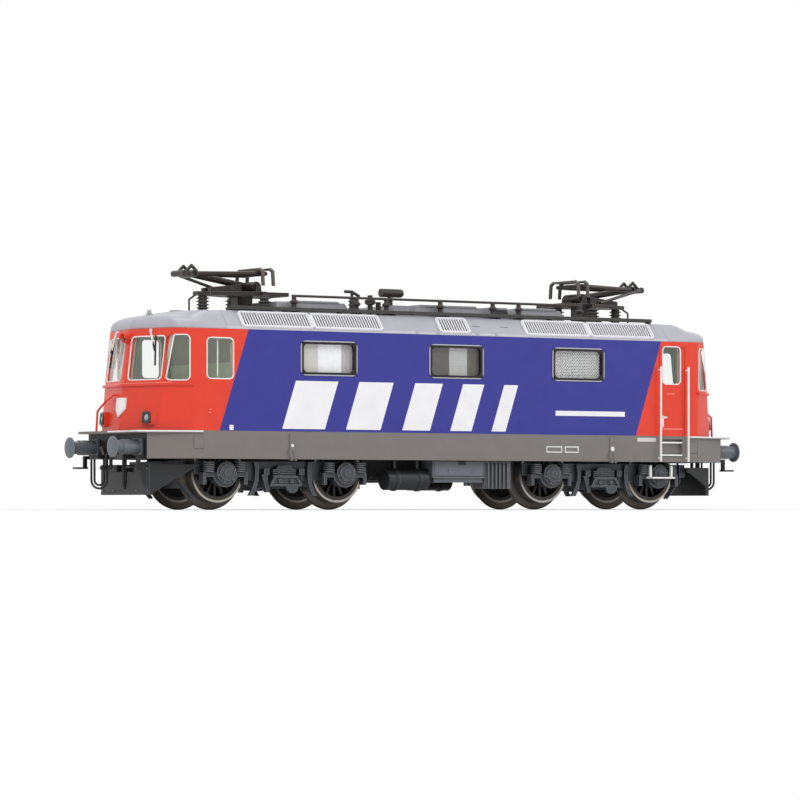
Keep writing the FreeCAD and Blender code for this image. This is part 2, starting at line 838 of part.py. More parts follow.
def snow_plough():
    """A bent sheet plough with side wings, held by two arms from the bogie's end beam."""
    low = rail_top + plough_bottom
    top = low + plough_height
    back = plough_front - plough_thickness
    front = block(back, plough_front, -plough_half_width, plough_half_width, low, top)
    notch = block(back - overrun, plough_front + overrun, -plough_notch_half_width, plough_notch_half_width,
                  top - plough_notch_height, top + overrun)
    beam_out = bogie_x + wheelbase / 2 + flange_radius + end_beam_gap + end_beam_thickness

    def wing_plan(length):
        tip_x = plough_front - length
        tip_y = plough_half_width + plough_wing_flare * length / plough_wing_length
        return plan_prism([(plough_front, plough_half_width), (tip_x, tip_y),
                           (tip_x, tip_y - plough_wing_thickness), (back, plough_half_width - plough_thickness),
                           (plough_front, plough_half_width - plough_thickness)], low, top)

    long_tip = plough_front - plough_wing_length
    long_wing = wing_plan(plough_wing_length).common(
        side_prism([(plough_front, low), (plough_front, top), (long_tip, top)], 0, half_width))
    short_tip = plough_front - plough_short_wing_length
    foot = top - plough_short_wing_depth
    bow = Part.Arc(Vec(plough_front, 0, foot),
                   Vec((plough_front + short_tip) / 2, 0, top - plough_short_wing_depth / 2),
                   Vec(short_tip, 0, top - plough_thickness)).toShape()
    rest = Part.makePolygon([Vec(short_tip, 0, top - plough_thickness), Vec(short_tip, 0, top),
                             Vec(plough_front, 0, top), Vec(plough_front, 0, foot)])
    gusset = Part.Face(Part.Wire([bow] + rest.Edges)).extrude(Vec(0, half_width, 0))
    short_wing = across(wing_plan(plough_short_wing_length).common(gusset))
    arm_y = plough_notch_half_width + plough_arm_width / 2
    arm = block(beam_out, plough_front - plough_thickness / 2, arm_y - plough_arm_width / 2,
                arm_y + plough_arm_width / 2, top - 2 * plough_thickness, top)
    return [fused([front.cut(notch), long_wing, short_wing, arm, across(arm)])]


def underframe():
    """The grey skirt with its chamfered ends, open over the bogies, and the floor between them."""
    outer = body_form(0, skirt_bottom, side_bottom)
    inner = body_form(wall, skirt_bottom - overrun, side_bottom + overrun)
    keep = block(-skirt_side_end, skirt_side_end, -half_width, half_width, skirt_bottom, side_bottom)
    frame = outer.cut(inner).common(keep)
    well_end = bogie_x - well_half_length
    middle = block(-well_end, well_end, -half_width + wall / 2, half_width - wall / 2,
                   side_bottom - floor_thickness, side_bottom)
    solids = [frame, middle]
    rib = block(bogie_x - rib_width / 2, bogie_x + rib_width / 2, -half_width - rib_stand_out,
                -half_width + wall / 2, skirt_bottom, side_bottom - platform_thickness)
    strip_front = -half_width - rib_stand_out - rib_strip_stand_out
    strip_low = skirt_bottom - rib_strip_width
    strips = []
    for place in (-bogie_x, bogie_x):
        for x in (place - rib_strip_pitch, place):
            strips.append(side_prism([(x, strip_low + rib_strip_height),
                                      (x + rib_strip_width, strip_low + rib_strip_height),
                                      (x + rib_strip_width + rib_strip_lean, strip_low),
                                      (x + rib_strip_lean, strip_low)], strip_front, -half_width + wall / 2))
    panel_top = side_bottom - platform_thickness - skirt_panel_drop
    panel = block(skirt_panel_x - skirt_panel_length / 2, skirt_panel_x + skirt_panel_length / 2,
                  -half_width - skirt_panel_stand_out, -half_width + wall / 2,
                  panel_top - skirt_panel_height, panel_top)
    whole = fused(solids + four(rib) + strips + [turned(strip) for strip in strips] + four(panel))
    recess = block(door_window_start - (step_width - door_window_end + door_window_start) / 2,
                   door_window_end + (step_width - door_window_end + door_window_start) / 2,
                   -half_width - overrun, -half_width + step_recess_depth,
                   skirt_bottom + skirt_height / 5, side_bottom - skirt_height / 8)
    whole = whole.cut(recess)
    return [whole.cut(turned(recess))]


def beam_outline(front, half_front, half_side, start):
    """The plan of a buffer beam or platform: straight front, chamfered back to the sides."""
    return [(start, -half_side), (skirt_side_end, -half_side), (front, -half_front),
            (front, half_front), (skirt_side_end, half_side), (start, half_side)]


def buffer_beam():
    solids = [plan_prism(beam_outline(beam_front, beam_half_width, half_width, skirt_side_end),
                         skirt_bottom, side_bottom - platform_thickness)]
    hollow = plan_prism(beam_outline(beam_front - beam_depth, beam_half_width - wall, half_width - wall,
                                     skirt_side_end - overrun), skirt_bottom - overrun,
                        side_bottom - platform_thickness - wall)
    beam = solids[0].cut(hollow)
    lip = half_width + platform_lip
    plate = plan_prism(beam_outline(platform_front, beam_half_width + platform_lip, lip, platform_side_end),
                       side_bottom - platform_thickness, side_bottom)
    room = body_form(0, skirt_bottom, gutter_z).common(
        block(0, skirt_side_end, -reach, reach, skirt_bottom, gutter_z))
    steps = []
    inner = shunter_step_x - shunter_step_bar
    tread_low = skirt_bottom - shunter_step_drop
    for side in (-1, 1):
        y = side * shunter_step_y
        near, far = y - shunter_step_bar / 2, y + shunter_step_bar / 2
        steps.append(block(beam_front, shunter_step_x, near, far, skirt_bottom, skirt_bottom + shunter_step_bar))
        steps.append(block(inner, shunter_step_x, near, far, tread_low, skirt_bottom + shunter_step_bar))
        steps.append(block(inner, shunter_step_x + shunter_step_reach, y - shunter_step_width / 2,
                           y + shunter_step_width / 2, tread_low, tread_low + shunter_step_plate))
    return [fused([beam, plate.cut(room)] + steps)]


def housing():
    """The moulded body: sides and cab fronts as one wall with every window cut."""
    form = body_form(0, side_bottom, gutter_z)
    shell = form.cut(body_form(wall, side_bottom - overrun, gutter_z + overrun))
    ledge = body_form(-belt_ledge, belt_z - belt_ledge_height, belt_z)
    ledge = ledge.cut(body_form(wall / 2, belt_z - belt_ledge_height - overrun, belt_z + overrun))
    ends = block(skirt_side_end, reach, -reach, reach, side_bottom, gutter_z)
    ledge_end = ledge.common(ends)
    whole = fused([shell, ledge_end, turned(ledge_end)])
    cutters = machine_window(0, half_width / 2)
    cutters += [turned(solid) for solid in cutters]
    ends = cab_openings(wall_cut)
    cutters += ends + [turned(solid) for solid in ends]
    whole = whole.cut(Part.makeCompound(cutters))
    groove = [block(x - door_groove / 2, x + door_groove / 2, -half_width - overrun,
                    -half_width + door_groove, side_bottom + door_bottom_gap, gutter_z - door_top_gap)
              for x in (door_start, door_end)]
    groove.append(block(door_start, door_end, -half_width - overrun, -half_width + door_groove,
                        gutter_z - door_top_gap - door_groove, gutter_z - door_top_gap))
    cut = fused(groove)
    return [whole.cut(Part.makeCompound([cut, turned(cut)]))]


def glazing():
    """Clear panes in every opening, a little behind the outer face."""
    low = body_form(pane_recess, side_bottom, gutter_z)
    sheet = low.cut(body_form(pane_recess + pane_thickness, side_bottom - overrun, gutter_z + overrun))
    inner = machine_window(window_frame_width, half_width / 2)
    holes = inner + [turned(solid) for solid in inner]
    ends = cab_openings(wall_cut)
    holes += ends + [turned(solid) for solid in ends]
    panes = []
    for hole in holes:
        panes += sheet.common(hole).Solids
    return panes


def window_frames():
    frames = []
    outer = machine_window(0, window_frame_depth)
    inner = machine_window(window_frame_width, window_frame_depth + overrun)
    room = block(-reach, reach, -half_width - window_frame_lip, 0, side_bottom, gutter_z)
    for whole, hole in zip(outer, inner):
        frames.append(whole.cut(hole).common(room))
    return frames + [turned(solid) for solid in frames]


def roof_form():
    """The solid outside of the main roof: gutter, slatted slopes and crowned deck."""
    foot = gutter_z + slope_foot_rise
    return end_prism([(-half_width, gutter_z), (-half_width, foot), (-deck_half_width, deck_z),
                      (0, deck_z + deck_crown), (deck_half_width, deck_z), (half_width, foot),
                      (half_width, gutter_z)], -ramp_end, ramp_end)


def main_roof():
    top = deck_z - roof_skin
    foot = half_width - roof_skin
    head_width = deck_half_width - roof_skin / 2
    room = end_prism([(-foot, gutter_z - overrun), (-foot, gutter_z), (-head_width, top), (head_width, top),
                      (foot, gutter_z), (foot, gutter_z - overrun)], -ramp_end + roof_skin, ramp_end - roof_skin)
    return [roof_form().cut(room)]


def cab_roof():
    """A domed cab roof that follows the cab front below and ramps up to the main roof."""
    low = gutter_z - overrun

    def section(inset):
        rim = half_width - inset
        edge = gutter_z + cab_roof_edge_rise - inset
        crown = cab_top_z - inset
        arc = Part.Arc(Vec(ramp_end, -rim, edge), Vec(ramp_end, 0, crown), Vec(ramp_end, rim, edge)).toShape()
        base = Part.makePolygon([Vec(ramp_end, rim, edge), Vec(ramp_end, rim, low),
                                 Vec(ramp_end, -rim, low), Vec(ramp_end, -rim, edge)])
        return Part.Face(Part.Wire([arc] + base.Edges)).extrude(Vec(platform_front - ramp_end, 0, 0))

    def nose(inset):
        tip = front_x(0, gutter_z) - inset
        crown = cab_top_z - inset
        back = tip - 2 * cab_roof_rise
        middle = Vec(back + (tip - back) * 0.78, 0, gutter_z + (crown - gutter_z) * 0.68)
        arc = Part.Arc(Vec(tip, 0, gutter_z), middle, Vec(back, 0, crown)).toShape()
        rest = Part.makePolygon([Vec(back, 0, crown), Vec(ramp_end, 0, crown), Vec(ramp_end, 0, low),
                                 Vec(tip, 0, low), Vec(tip, 0, gutter_z)])
        face = Part.Face(Part.Wire([arc] + rest.Edges))
        face.translate(Vec(0, -half_width, 0))
        return face.extrude(Vec(0, 2 * half_width, 0))

    dome = section(0).common(nose(0)).common(body_form(0, gutter_z, cab_top_z + overrun))
    room = section(roof_skin).common(nose(roof_skin)).common(
        body_form(roof_skin, gutter_z - overrun, cab_top_z + overrun))
    shell = dome.cut(room)
    ramp = side_prism([(ramp_end, gutter_z + cab_roof_edge_rise), (ramp_start, cab_top_z - roof_skin),
                       (ramp_start, cab_top_z - deck_crown), (ramp_end, deck_z)],
                      -deck_half_width, deck_half_width)
    return [fused([shell, ramp])]


def slope_frame(x, share):
    """A point on the near roof slope and the slope's own directions."""
    foot = Vec(x, -half_width, gutter_z + slope_foot_rise)
    top = Vec(x, -deck_half_width, deck_z)
    up = top.sub(foot)
    normal = Vec(0, -up.z, up.y).normalize()
    return foot.add(up * share), up, normal


def grille(x0, x1):
    """A slatted frame with round corners that lies on the roof slope, its slats upright."""
    centre, up, normal = slope_frame((x0 + x1) / 2, 0.5)
    length = x1 - x0
    height = up.Length - grille_frame
    plate = Part.makeBox(length, height, grille_thickness, Vec(-length / 2, -height / 2, 0))
    plate = plate.makeFillet(grille_corner, [edge for edge in plate.Edges
                                             if abs(edge.tangentAt(edge.FirstParameter).z) > 0.9])
    inner = height - 2 * grille_frame
    room = length - 2 * grille_frame
    hole = Part.makeBox(room, inner, grille_thickness + overrun, Vec(-room / 2, -inner / 2, -overrun / 2))
    count = int((room - grille_bar_width) / grille_bar_pitch)
    start = -(count - 1) * grille_bar_pitch / 2 - grille_bar_width / 2
    bars = [Part.makeBox(grille_bar_width, inner, grille_bar_depth,
                         Vec(start + index * grille_bar_pitch, -inner / 2, 0)) for index in range(count)]
    return stood(fused([plate.cut(hole)] + bars), centre, normal, Vec(0, up.y, up.z))


def roof_grilles():
    near = []
    for x0, x1 in ((-grille_outer_end, -grille_split), (-grille_split, -grille_inner_end),
                   (-grille_middle_half_length, grille_middle_half_length),
                   (grille_inner_end, grille_split), (grille_split, grille_outer_end)):
        near.append(grille(x0, x1))
    return near + [turned(solid) for solid in near]


def walkway():
    low = deck_z + walkway_lift
    plank = block(-walkway_half_length, walkway_half_length, -walkway_outer, -walkway_outer + walkway_width,
                  low, low + walkway_thickness)
    count = int(2 * walkway_half_length / walkway_foot_pitch)
    feet = []
    for index in range(count + 1):
        x = (index - count / 2) * walkway_foot_pitch
        feet.append(block(x - walkway_foot / 2, x + walkway_foot / 2, -deck_half_width + walkway_foot / 2,
                          -walkway_outer + walkway_width, deck_z, low))
    return fused([plank] + feet).cut(roof_form())


def roof_hatches():
    solids = []
    for x0, x1 in hatch_spans:
        top = deck_z + hatch_height
        outline = [(x0, deck_z), (x1, deck_z), (x1 - hatch_slope / 2, top), (x0 + hatch_slope / 2, top)]
        solid = side_prism(outline, -hatch_half_width, hatch_half_width)
        for side in (-1, 1):
            normal = Vec(0, side, 0.55).normalize()
            solid = trimmed(solid, Vec(0, side * hatch_half_width, deck_z + hatch_height * 0.6), normal)
        solids.append(solid.cut(roof_form()))
    x0, x1 = low_plate_span
    plate = block(x0, x1, -hatch_half_width, hatch_half_width, deck_z, deck_z + low_plate_height)
    solids.append(plate.cut(roof_form()))
    return solids


def insulator(x, y, foot, height, radius, core, sheds):
    """A ribbed post: cone-shaped sheds on a core, with a flat cap."""
    pitch = height / (sheds + 1)
    outline = [(0, 0), (radius, 0), (radius, pitch / 4), (core, pitch / 2)]
    for shed in range(1, sheds + 1):
        outline += [(core, (shed - 0.1) * pitch), (radius, (shed + 0.1) * pitch),
                    (radius, (shed + 0.3) * pitch), (core, (shed + 0.5) * pitch)]
    outline += [(core, height), (0, height)]
    return spun(outline, Vec(x, y, foot), Vec(0, 0, 1))


def roof_line():
    """The bare conductor along the near roof edge on its insulators."""
    level = deck_z + line_height
    solids = [rod(Vec(-line_half_length, -line_y, level), Vec(line_half_length, -line_y, level), line_radius)]
    shares = ((line_foot_radius, 0), (line_foot_radius, 0.08), (line_neck_radius, 0.4), (line_neck_radius, 0.52),
              (line_ring_radius, 0.6), (line_ring_radius, 0.7), (line_neck_radius, 0.78), (line_neck_radius, 1))
    outline = [(0, 0)] + [(radius, share * line_height) for radius, share in shares] + [(0, line_height)]
    for x in line_post_places:
        solids.append(spun(outline, Vec(x, -line_y, deck_z), Vec(0, 0, 1)))
    return [fused(solids).cut(roof_form())]


def line_breaker():
    """The main switch: a ribbed drum with its arm, a disc post, a small post and a rounded housing."""
    y = -breaker_y
    roof = roof_form()
    drum = insulator(breaker_drum_x, y, deck_z, breaker_drum_height, breaker_drum_radius,
                     breaker_post_radius, foot_sheds)
    arm_z = deck_z + breaker_box_height
    arm = bent_rod([Vec(breaker_drum_x - breaker_arm_reach, y, arm_z), Vec(breaker_drum_x, y, arm_z),
                    Vec(breaker_drum_x + breaker_arm_reach, y, arm_z - breaker_box_radius)],
                   breaker_arm_radius)
    neck = rod(Vec(breaker_drum_x, y, arm_z), Vec(breaker_drum_x, y, arm_z - breaker_arm_reach),
               breaker_arm_radius)
    shares = ((breaker_post_radius, 0), (breaker_post_radius, 0.7), (breaker_disc_radius, 0.78),
              (breaker_disc_radius, 1), (breaker_post_radius, 1.06), (breaker_post_radius, 1.3))
    outline = [(0, 0)] + [(radius, share * breaker_disc_height) for radius, share in shares]
    outline.append((0, shares[-1][1] * breaker_disc_height))
    disc = spun(outline, Vec(breaker_disc_x, y, deck_z), Vec(0, 0, 1))
    post = rod(Vec(breaker_post_x, y, deck_z), Vec(breaker_post_x, y, deck_z + breaker_post_height),
               breaker_post_radius)
    start = breaker_post_x + breaker_post_radius
    end = start + breaker_box_length - breaker_box_radius
    foot_x = (start + end) / 2
    case = fused([rod(Vec(start, y, arm_z), Vec(end, y, arm_z), breaker_box_radius),
                  Part.makeSphere(breaker_box_radius, Vec(end, y, arm_z)),
                  rod(Vec(foot_x, y, deck_z + hatch_height), Vec(foot_x, y, arm_z), breaker_post_radius)])
    return [fused([drum, arm, neck]).cut(roof), disc.cut(roof), post.cut(roof), case]


def roof_aerials():
    half = aerial_width / 2
    low = cab_top_z - deck_crown * 2
    block_piece = block(aerial_x - half, aerial_x + half, -half, half, low, cab_top_z + aerial_height / 3)
    dome = cab_roof()[0]
    piece = block_piece.cut(dome)
    return [piece, turned(piece)]


def collector_base():
    """The right-hand collector's base frame on three insulators, with its hub and spring box."""
    level = deck_z + base_height
    bar = base_bar
    frame = []
    for side in (-1, 1):
        y = side * base_half_width
        frame.append(plan_prism([(base_inner_x, y - bar / 2), (hub_x + bar, y - bar / 2),
                                 (base_outer_x, side * bar / 2 - bar / 2), (base_outer_x, side * bar / 2 + bar / 2),
                                 (hub_x + bar, y + bar / 2), (base_inner_x, y + bar / 2)], level - bar, level))
    frame.append(block(base_inner_x, base_inner_x + bar, -base_half_width - bar / 2, base_half_width + bar / 2,
                       level - bar, level))
    frame.append(block(foot_inner_x - bar / 2, foot_inner_x + bar / 2, -foot_half_spread - bar / 2,
                       foot_half_spread + bar / 2, level - bar, level))
    frame.append(block(foot_outer_x - foot_radius, base_outer_x, -foot_radius, foot_radius, level - bar, level))
    frame.append(block(hub_x - spring_box_length / 2, link_foot_x + bar, -spring_box_width / 2,
                       spring_box_width / 2, level - bar, level))
    height = level - bar - deck_z
    crown = deck_z + deck_crown
    feet = [insulator(foot_outer_x, 0, crown, level - bar - crown, foot_shed_radius, foot_radius, foot_sheds)]
    for side in (-1, 1):
        feet.append(insulator(foot_inner_x, side * foot_half_spread, deck_z, height, foot_shed_radius,
                              foot_radius, foot_sheds))
    roof = roof_form()
    ears = []
    hub_level = deck_z + hub_height
    for side in (-1, 1):
        y = side * (hub_half_width + bar / 2)
        ears.append(side_prism([(hub_x - bar, level - bar), (hub_x + bar, level - bar),
                                (hub_x + bar / 2, hub_level + bar / 2), (hub_x - bar / 2, hub_level + bar / 2)],
                               y - bar / 2, y + bar / 2))
    shaft = rod(Vec(hub_x, -hub_half_width - bar, hub_level), Vec(hub_x, hub_half_width + bar, hub_level),
                pin_radius)
    link_y = knee_half_width + link_radius
    foot_pin = rod(Vec(link_foot_x, -link_y, hub_level + link_foot_rise),
                   Vec(link_foot_x, link_y, hub_level + link_foot_rise), pin_radius)
    cheek = block(link_foot_x - bar / 2, link_foot_x + bar / 2, -spring_box_width / 2, spring_box_width / 2,
                  level - bar, hub_level + link_foot_rise + pin_radius)
    drive = block(hub_x, hub_x + drive_block_length, -drive_block_width / 2, drive_block_width / 2, deck_z,
                  level - bar)
    case_start = hub_x + spring_case_start
    case_end = case_start + spring_case_length
    cases = []
    for side in (-1, 1):
        near, far = sorted((side * spring_box_width / 2, side * (spring_box_width / 2 + spring_case_width)))
        cases.append(side_prism([(case_start, level - bar), (case_end, level - bar),
                                 (case_end, level + spring_case_end_height),
                                 (case_start, level + spring_case_height)], near, far))
    wire_x = base_outer_x + earth_wire_reach
    wire = bent_rod([Vec(wire_x, -earth_wire_y, deck_z - deck_crown), Vec(wire_x, -earth_wire_y, level - 2 * bar),
                     Vec(base_outer_x - bar, -foot_radius / 2, level - bar / 2)], earth_wire_radius)
    grounded = [solid.cut(roof) for solid in frame + feet + [drive, wire]]
    return [fused(grounded + ears + cases + [shaft, foot_pin, cheek])]


hub_z = deck_z + hub_height
knee_z = hub_z + knee_rise
head_z = hub_z + head_rise
link_foot_z = hub_z + link_foot_rise


def lower_arm():
    """A single thick tube from the hub out to the knee."""
    hub = Vec(hub_x, 0, hub_z)
    knee = Vec(knee_x, 0, knee_z)
    boss = rod(Vec(hub_x, -hub_half_width + pin_play, hub_z), Vec(hub_x, hub_half_width - pin_play, hub_z),
               hub_radius_roof)
    end = rod(Vec(knee_x, -knee_half_width / 2, knee_z), Vec(knee_x, knee_half_width / 2, knee_z),
              knee_boss_radius)
    tube = rod(hub, knee, arm_radius)
    whole = fused([boss, end, tube])
    bore = rod(Vec(hub_x, -half_width, hub_z), Vec(hub_x, half_width, hub_z), pin_radius + pin_play)
    pin = rod(Vec(knee_x, -knee_half_width, knee_z), Vec(knee_x, knee_half_width, knee_z), pin_radius)
    return [fused([whole.cut(bore), pin])]


def upper_arm():
    """Two tubes that spread from the knee to the head, with cross tubes and a tail for the link."""
    solids = []
    ear_near = knee_half_width / 2 + pin_play
    ear_far = ear_near + 2.4 * upper_arm_radius
    middle = (ear_near + ear_far) / 2
    tail = Vec(knee_tail, 0, 0)
    for side in (-1, 1):
        knee = Vec(knee_x, side * middle, knee_z)
        solids.append(rod(Vec(knee_x, side * ear_near, knee_z), Vec(knee_x, side * ear_far, knee_z),
                          knee_boss_radius))
        solids.append(rod(knee, Vec(head_x, side * upper_arm_spread, head_z), upper_arm_radius))
        solids.append(rod(knee, knee.add(tail), upper_arm_radius * 0.8))
        solids.append(bent_rod([knee.add(tail * 0.85), knee.add(Vec(upper_arm_radius, 0, knee_lever_rise)),
                                knee.add(Vec(-knee_boss_radius, 0, upper_arm_radius))], knee_lever_radius))
    solids.append(rod(Vec(knee_x + knee_tail, -ear_far, knee_z), Vec(knee_x + knee_tail, ear_far, knee_z),
                      knee_boss_radius * 0.8))
    wide = upper_arm_spread + upper_arm_radius
    solids.append(rod(Vec(head_x, -wide, head_z), Vec(head_x, wide, head_z), upper_arm_radius * 0.9))
    whole = fused(solids)
    bore = rod(Vec(knee_x, -half_width, knee_z), Vec(knee_x, half_width, knee_z), pin_radius + pin_play)
    return [whole.cut(bore)]


def head():
    """Two contact strips with down-curved horns, on stub arms above the upper arm's cross tube."""
    solids = []
    strip_low = head_z + upper_arm_radius + pin_play * 2
    for side in (-1, 1):
        x = head_x + side * head_strip_gap / 2
        solids.append(block(x - head_strip_width / 2, x + head_strip_width / 2, -head_half_width,
                            head_half_width, strip_low, strip_low + head_strip_height))
        for end in (-1, 1):
            start = Vec(x, end * head_half_width, strip_low + head_strip_height / 2)
            bend = Vec(x, end * (head_half_width + head_horn_reach * 0.75), start.z - head_horn_drop * 0.15)
            tip = Vec(x, end * (head_half_width + head_horn_reach), start.z - head_horn_drop)
            solids.append(rod(start, bend, head_horn_radius))
            solids.append(rod(bend, tip, head_horn_radius))
            solids.append(Part.makeSphere(head_horn_radius, bend))
    for end in (-1, 1):
        y = end * head_half_width * 0.8
        solids.append(block(head_x - head_strip_gap / 2, head_x + head_strip_gap / 2, y - head_strip_width / 2,
                            y + head_strip_width / 2, strip_low, strip_low + head_strip_height * 0.6))
    return [fused(solids)]


def control_link():
    """The thin rod under the lower arm that folds the upper arm as the lower arm rises."""
    foot = Vec(link_foot_x, 0, link_foot_z)
    tail = Vec(knee_x + knee_tail, 0, knee_z)
    y = Vec(0, knee_half_width + link_radius * 2.2, 0)
    return [rod(foot.sub(y), tail.sub(y).sub(Vec(link_radius * 2, 0, 0)), link_radius)]


def buffers():
    """Sprung buffers with round dished plates."""
    z = rail_top + buffer_height
    start = beam_front
    length = buffer_face_x - start
    outline = [(0, 0), (buffer_barrel_radius, 0), (buffer_barrel_radius, buffer_barrel_length),
               (buffer_shank_radius, buffer_barrel_length), (buffer_shank_radius, length - buffer_dish),
               (buffer_radius, length - buffer_dish * 0.7), (buffer_radius, length - buffer_crown),
               (buffer_radius * 0.55, length), (0, length)]
    barrel = spun(outline, Vec(start, -buffer_y, z), Vec(1, 0, 0))
    half = buffer_flange / 2
    plate = block(start, start + buffer_flange_thickness, -buffer_y - half, -buffer_y + half, z - half, z + half)
    return four(fused([barrel, plate]))


def draw_hook():
    z = rail_top + hook_height
    half = hook_shank / 2
    shank = block(beam_front, beam_front + hook_length, -half, half, z - half, z + half)
    tip = side_prism([(beam_front + hook_length, z - half), (beam_front + hook_length + half, z - half),
                      (beam_front + hook_length + hook_shank, z + half * 1.6),
                      (beam_front + hook_length + half, z + half * 1.6),
                      (beam_front + hook_length, z + half)], -half * 0.7, half * 0.7)
    x = beam_front + hook_length * 0.75
    low = z - link_drop
    bars = [rod(Vec(x, side * link_width / 2, low), Vec(x, side * link_width / 2, z), link_wire)
            for side in (-1, 1)]
    bars.append(rod(Vec(x, -link_width / 2, z), Vec(x, link_width / 2, z), link_wire))
    bars.append(rod(Vec(x, -link_width / 2, low), Vec(x, link_width / 2, low), link_wire))
    bars.append(rod(Vec(x - link_wire, 0, low), Vec(x + hook_shank * 1.5, 0, low), link_wire * 1.2))
    return fused([shank, tip] + bars)


def hose_loop(centre, width, drop, along):
    """A moulded hose swept down, round and up again, in a plane that runs along a direction."""
    half = along * (width / 2)
    down = Vec(0, 0, drop - width / 2)
    first, last = centre.sub(half), centre.add(half)
    wire = Part.Wire([Part.LineSegment(first, first.sub(down)).toShape(),
                      Part.Arc(first.sub(down), centre.sub(Vec(0, 0, drop)), last.sub(down)).toShape(),
                      Part.LineSegment(last.sub(down), last).toShape()])
    ring = Part.Wire([Part.Circle(first, Vec(0, 0, 1), hose_radius).toShape()])
    return wire.makePipeShell([ring], True, True)


def brake_hose(side):
    """Two nested hose loops that hang from a valve block under the beam, turned outwards."""
    centre = Vec(beam_front + hose_valve_depth / 2, side * hose_y, skirt_bottom + hose_valve_height / 2)
    turn = math.radians(hose_lean)
    along = Vec(math.cos(turn), side * math.sin(turn), 0)
    valve = block(beam_front, beam_front + hose_valve_depth, centre.y - hose_width / 2,
                  centre.y + hose_width / 2, skirt_bottom, skirt_bottom + hose_valve_height)
    return fused([valve, hose_loop(centre, hose_width, hose_drop, along),
                  hose_loop(centre, hose_width - 2 * hose_nest, hose_drop - hose_nest, along)])


def door_rails():
    """Two upright grab rails beside the door, stood off on short stubs."""
    y = -half_width - door_rail_clear
    low = skirt_bottom + door_rail_bottom
    high = side_bottom + door_rail_top
    solids = []
    for x in (door_rail_inner_x, door_rail_outer_x):
        upright = rod(Vec(x, y, low), Vec(x, y, high), rail_radius)
        stubs = [rod(Vec(x, y, z), Vec(x, -half_width, z), rail_radius * 0.8)
                 for z in (low + 3 * rail_radius, high - 3 * rail_radius)]
        solids.append(fused([upright] + stubs))
    return solids


def entry_steps():
    """Two step plates in the skirt below the door."""
    middle = (door_window_start + door_window_end) / 2
    solids = []
    for drop in (step_upper_drop, step_lower_drop):
        top = side_bottom - skirt_height / 8 - drop - step_plate
        solids.append(block(middle - step_width / 2, middle + step_width / 2, -half_width,
                            -half_width + step_recess_depth, top - step_plate, top))
    return solids


def bogie_step():
    """The lowest step below the door, carried in front of the bogie's outer axle box."""
    low = axle_z - arm_height
    back = -side_face - arm_stand_out
    front = -spring_row_y - spring_radius - spring_gap - hang_step_bar
    start = outer_axle_x - hang_step_inset
    end = start + hang_step_length
    solids = [block(start, end, front - step_depth * 0.7, front, low, low + step_plate)]
    for x in (start, end - hang_step_bar):
        solids.append(block(x, x + hang_step_bar, front, front + hang_step_bar, low, low + hang_step_height))
        solids.append(block(x, x + hang_step_bar, front, back, low, low + hang_step_bar))
    return [fused(solids)]


def front_rail():
    """A grab rail that stands off the cab front and steps down to the platform."""
    top = side_bottom + front_rail_rise
    points = [on_front(-front_rail_inner_y, top, 0), on_front(-front_rail_inner_y, top, front_rail_stand_off),
              on_front(-front_rail_bend_y, side_bottom + front_rail_bend_rise, front_rail_stand_off),
              on_front(-front_rail_y, side_bottom + front_rail_knee_rise, front_rail_foot_off),
              Vec(front_x(front_rail_y, side_bottom) + front_rail_foot_off, -front_rail_y, side_bottom)]
    return bent_rod(points, front_rail_radius).cut(body_form(0, side_bottom, gutter_z))


def lamp_block():
    """The square outside of a headlamp where it stands on the lower cab front."""
    size = 2 * lamp_half_size
    shell = rounded_plate(size, size, lamp_half_size / 3, lamp_stand_out)
    return shell, on_front(-lamp_offset, side_bottom + lamp_height), front_normal(lower_rake, -1)


def headlamp():
    shell, centre, normal = lamp_block()
    eye = Part.makeCylinder(lamp_eye_radius, overrun, Vec(0, 0, lamp_stand_out - lamp_stand_out / 3))
    return stood(shell.cut(eye), centre, normal).cut(body_form(0, side_bottom, gutter_z))


def lamp_fairing():
    """The body-coloured hood round a headlamp, which tapers back to the corner panel."""
    shell, centre, normal = lamp_block()
    half = lamp_half_size + fairing_margin
    inner, outer = lamp_offset - half, lamp_offset + half
    back = corner_x - (fairing_end - corner_half_width) * (corner_x - skirt_side_end) / (
        half_width - corner_half_width)
    outline = [(back - wall, -inner), (front_x(inner, centre.z) + fairing_stand_out, -inner),
               (front_x(outer, centre.z) + fairing_stand_out, -outer), (back, -fairing_end)]
    hood = plan_prism(outline, centre.z - half, centre.z + half)
    return hood.cut(body_form(0, side_bottom, gutter_z)).cut(stood(shell, centre, normal))


def top_hood():
    """The half-round hood over the third lamp."""
    z = side_bottom + top_lamp_height
    outer = Part.makeCylinder(top_lamp_radius + hood_thickness, 2 * hood_length, Vec(0, 0, -hood_length))
    inner = Part.makeCylinder(top_lamp_radius, 2 * reach, Vec(0, 0, -reach))
    upper = Part.makeBox(reach, reach, 2 * reach, Vec(-reach / 2, 0, -reach))
    hood = stood(outer.cut(inner).common(upper), Vec(front_x(0, z), 0, z), Vec(1, 0, upper_rake).normalize())
    return hood.cut(body_form(0, side_bottom, gutter_z))


def top_lamp():
    """The round third lamp on the centre pillar under its small hood."""
    z = side_bottom + top_lamp_height
    tube = Part.makeCylinder(top_lamp_radius, 2 * top_lamp_stand_out, Vec(0, 0, -top_lamp_stand_out))
    eye = Part.makeCylinder(top_lamp_radius * 0.7, overrun, Vec(0, 0, top_lamp_stand_out * 0.7))
    piece = stood(tube.cut(eye), Vec(front_x(0, z), 0, z), Vec(1, 0, upper_rake).normalize())
    return piece.cut(body_form(0, side_bottom, gutter_z))


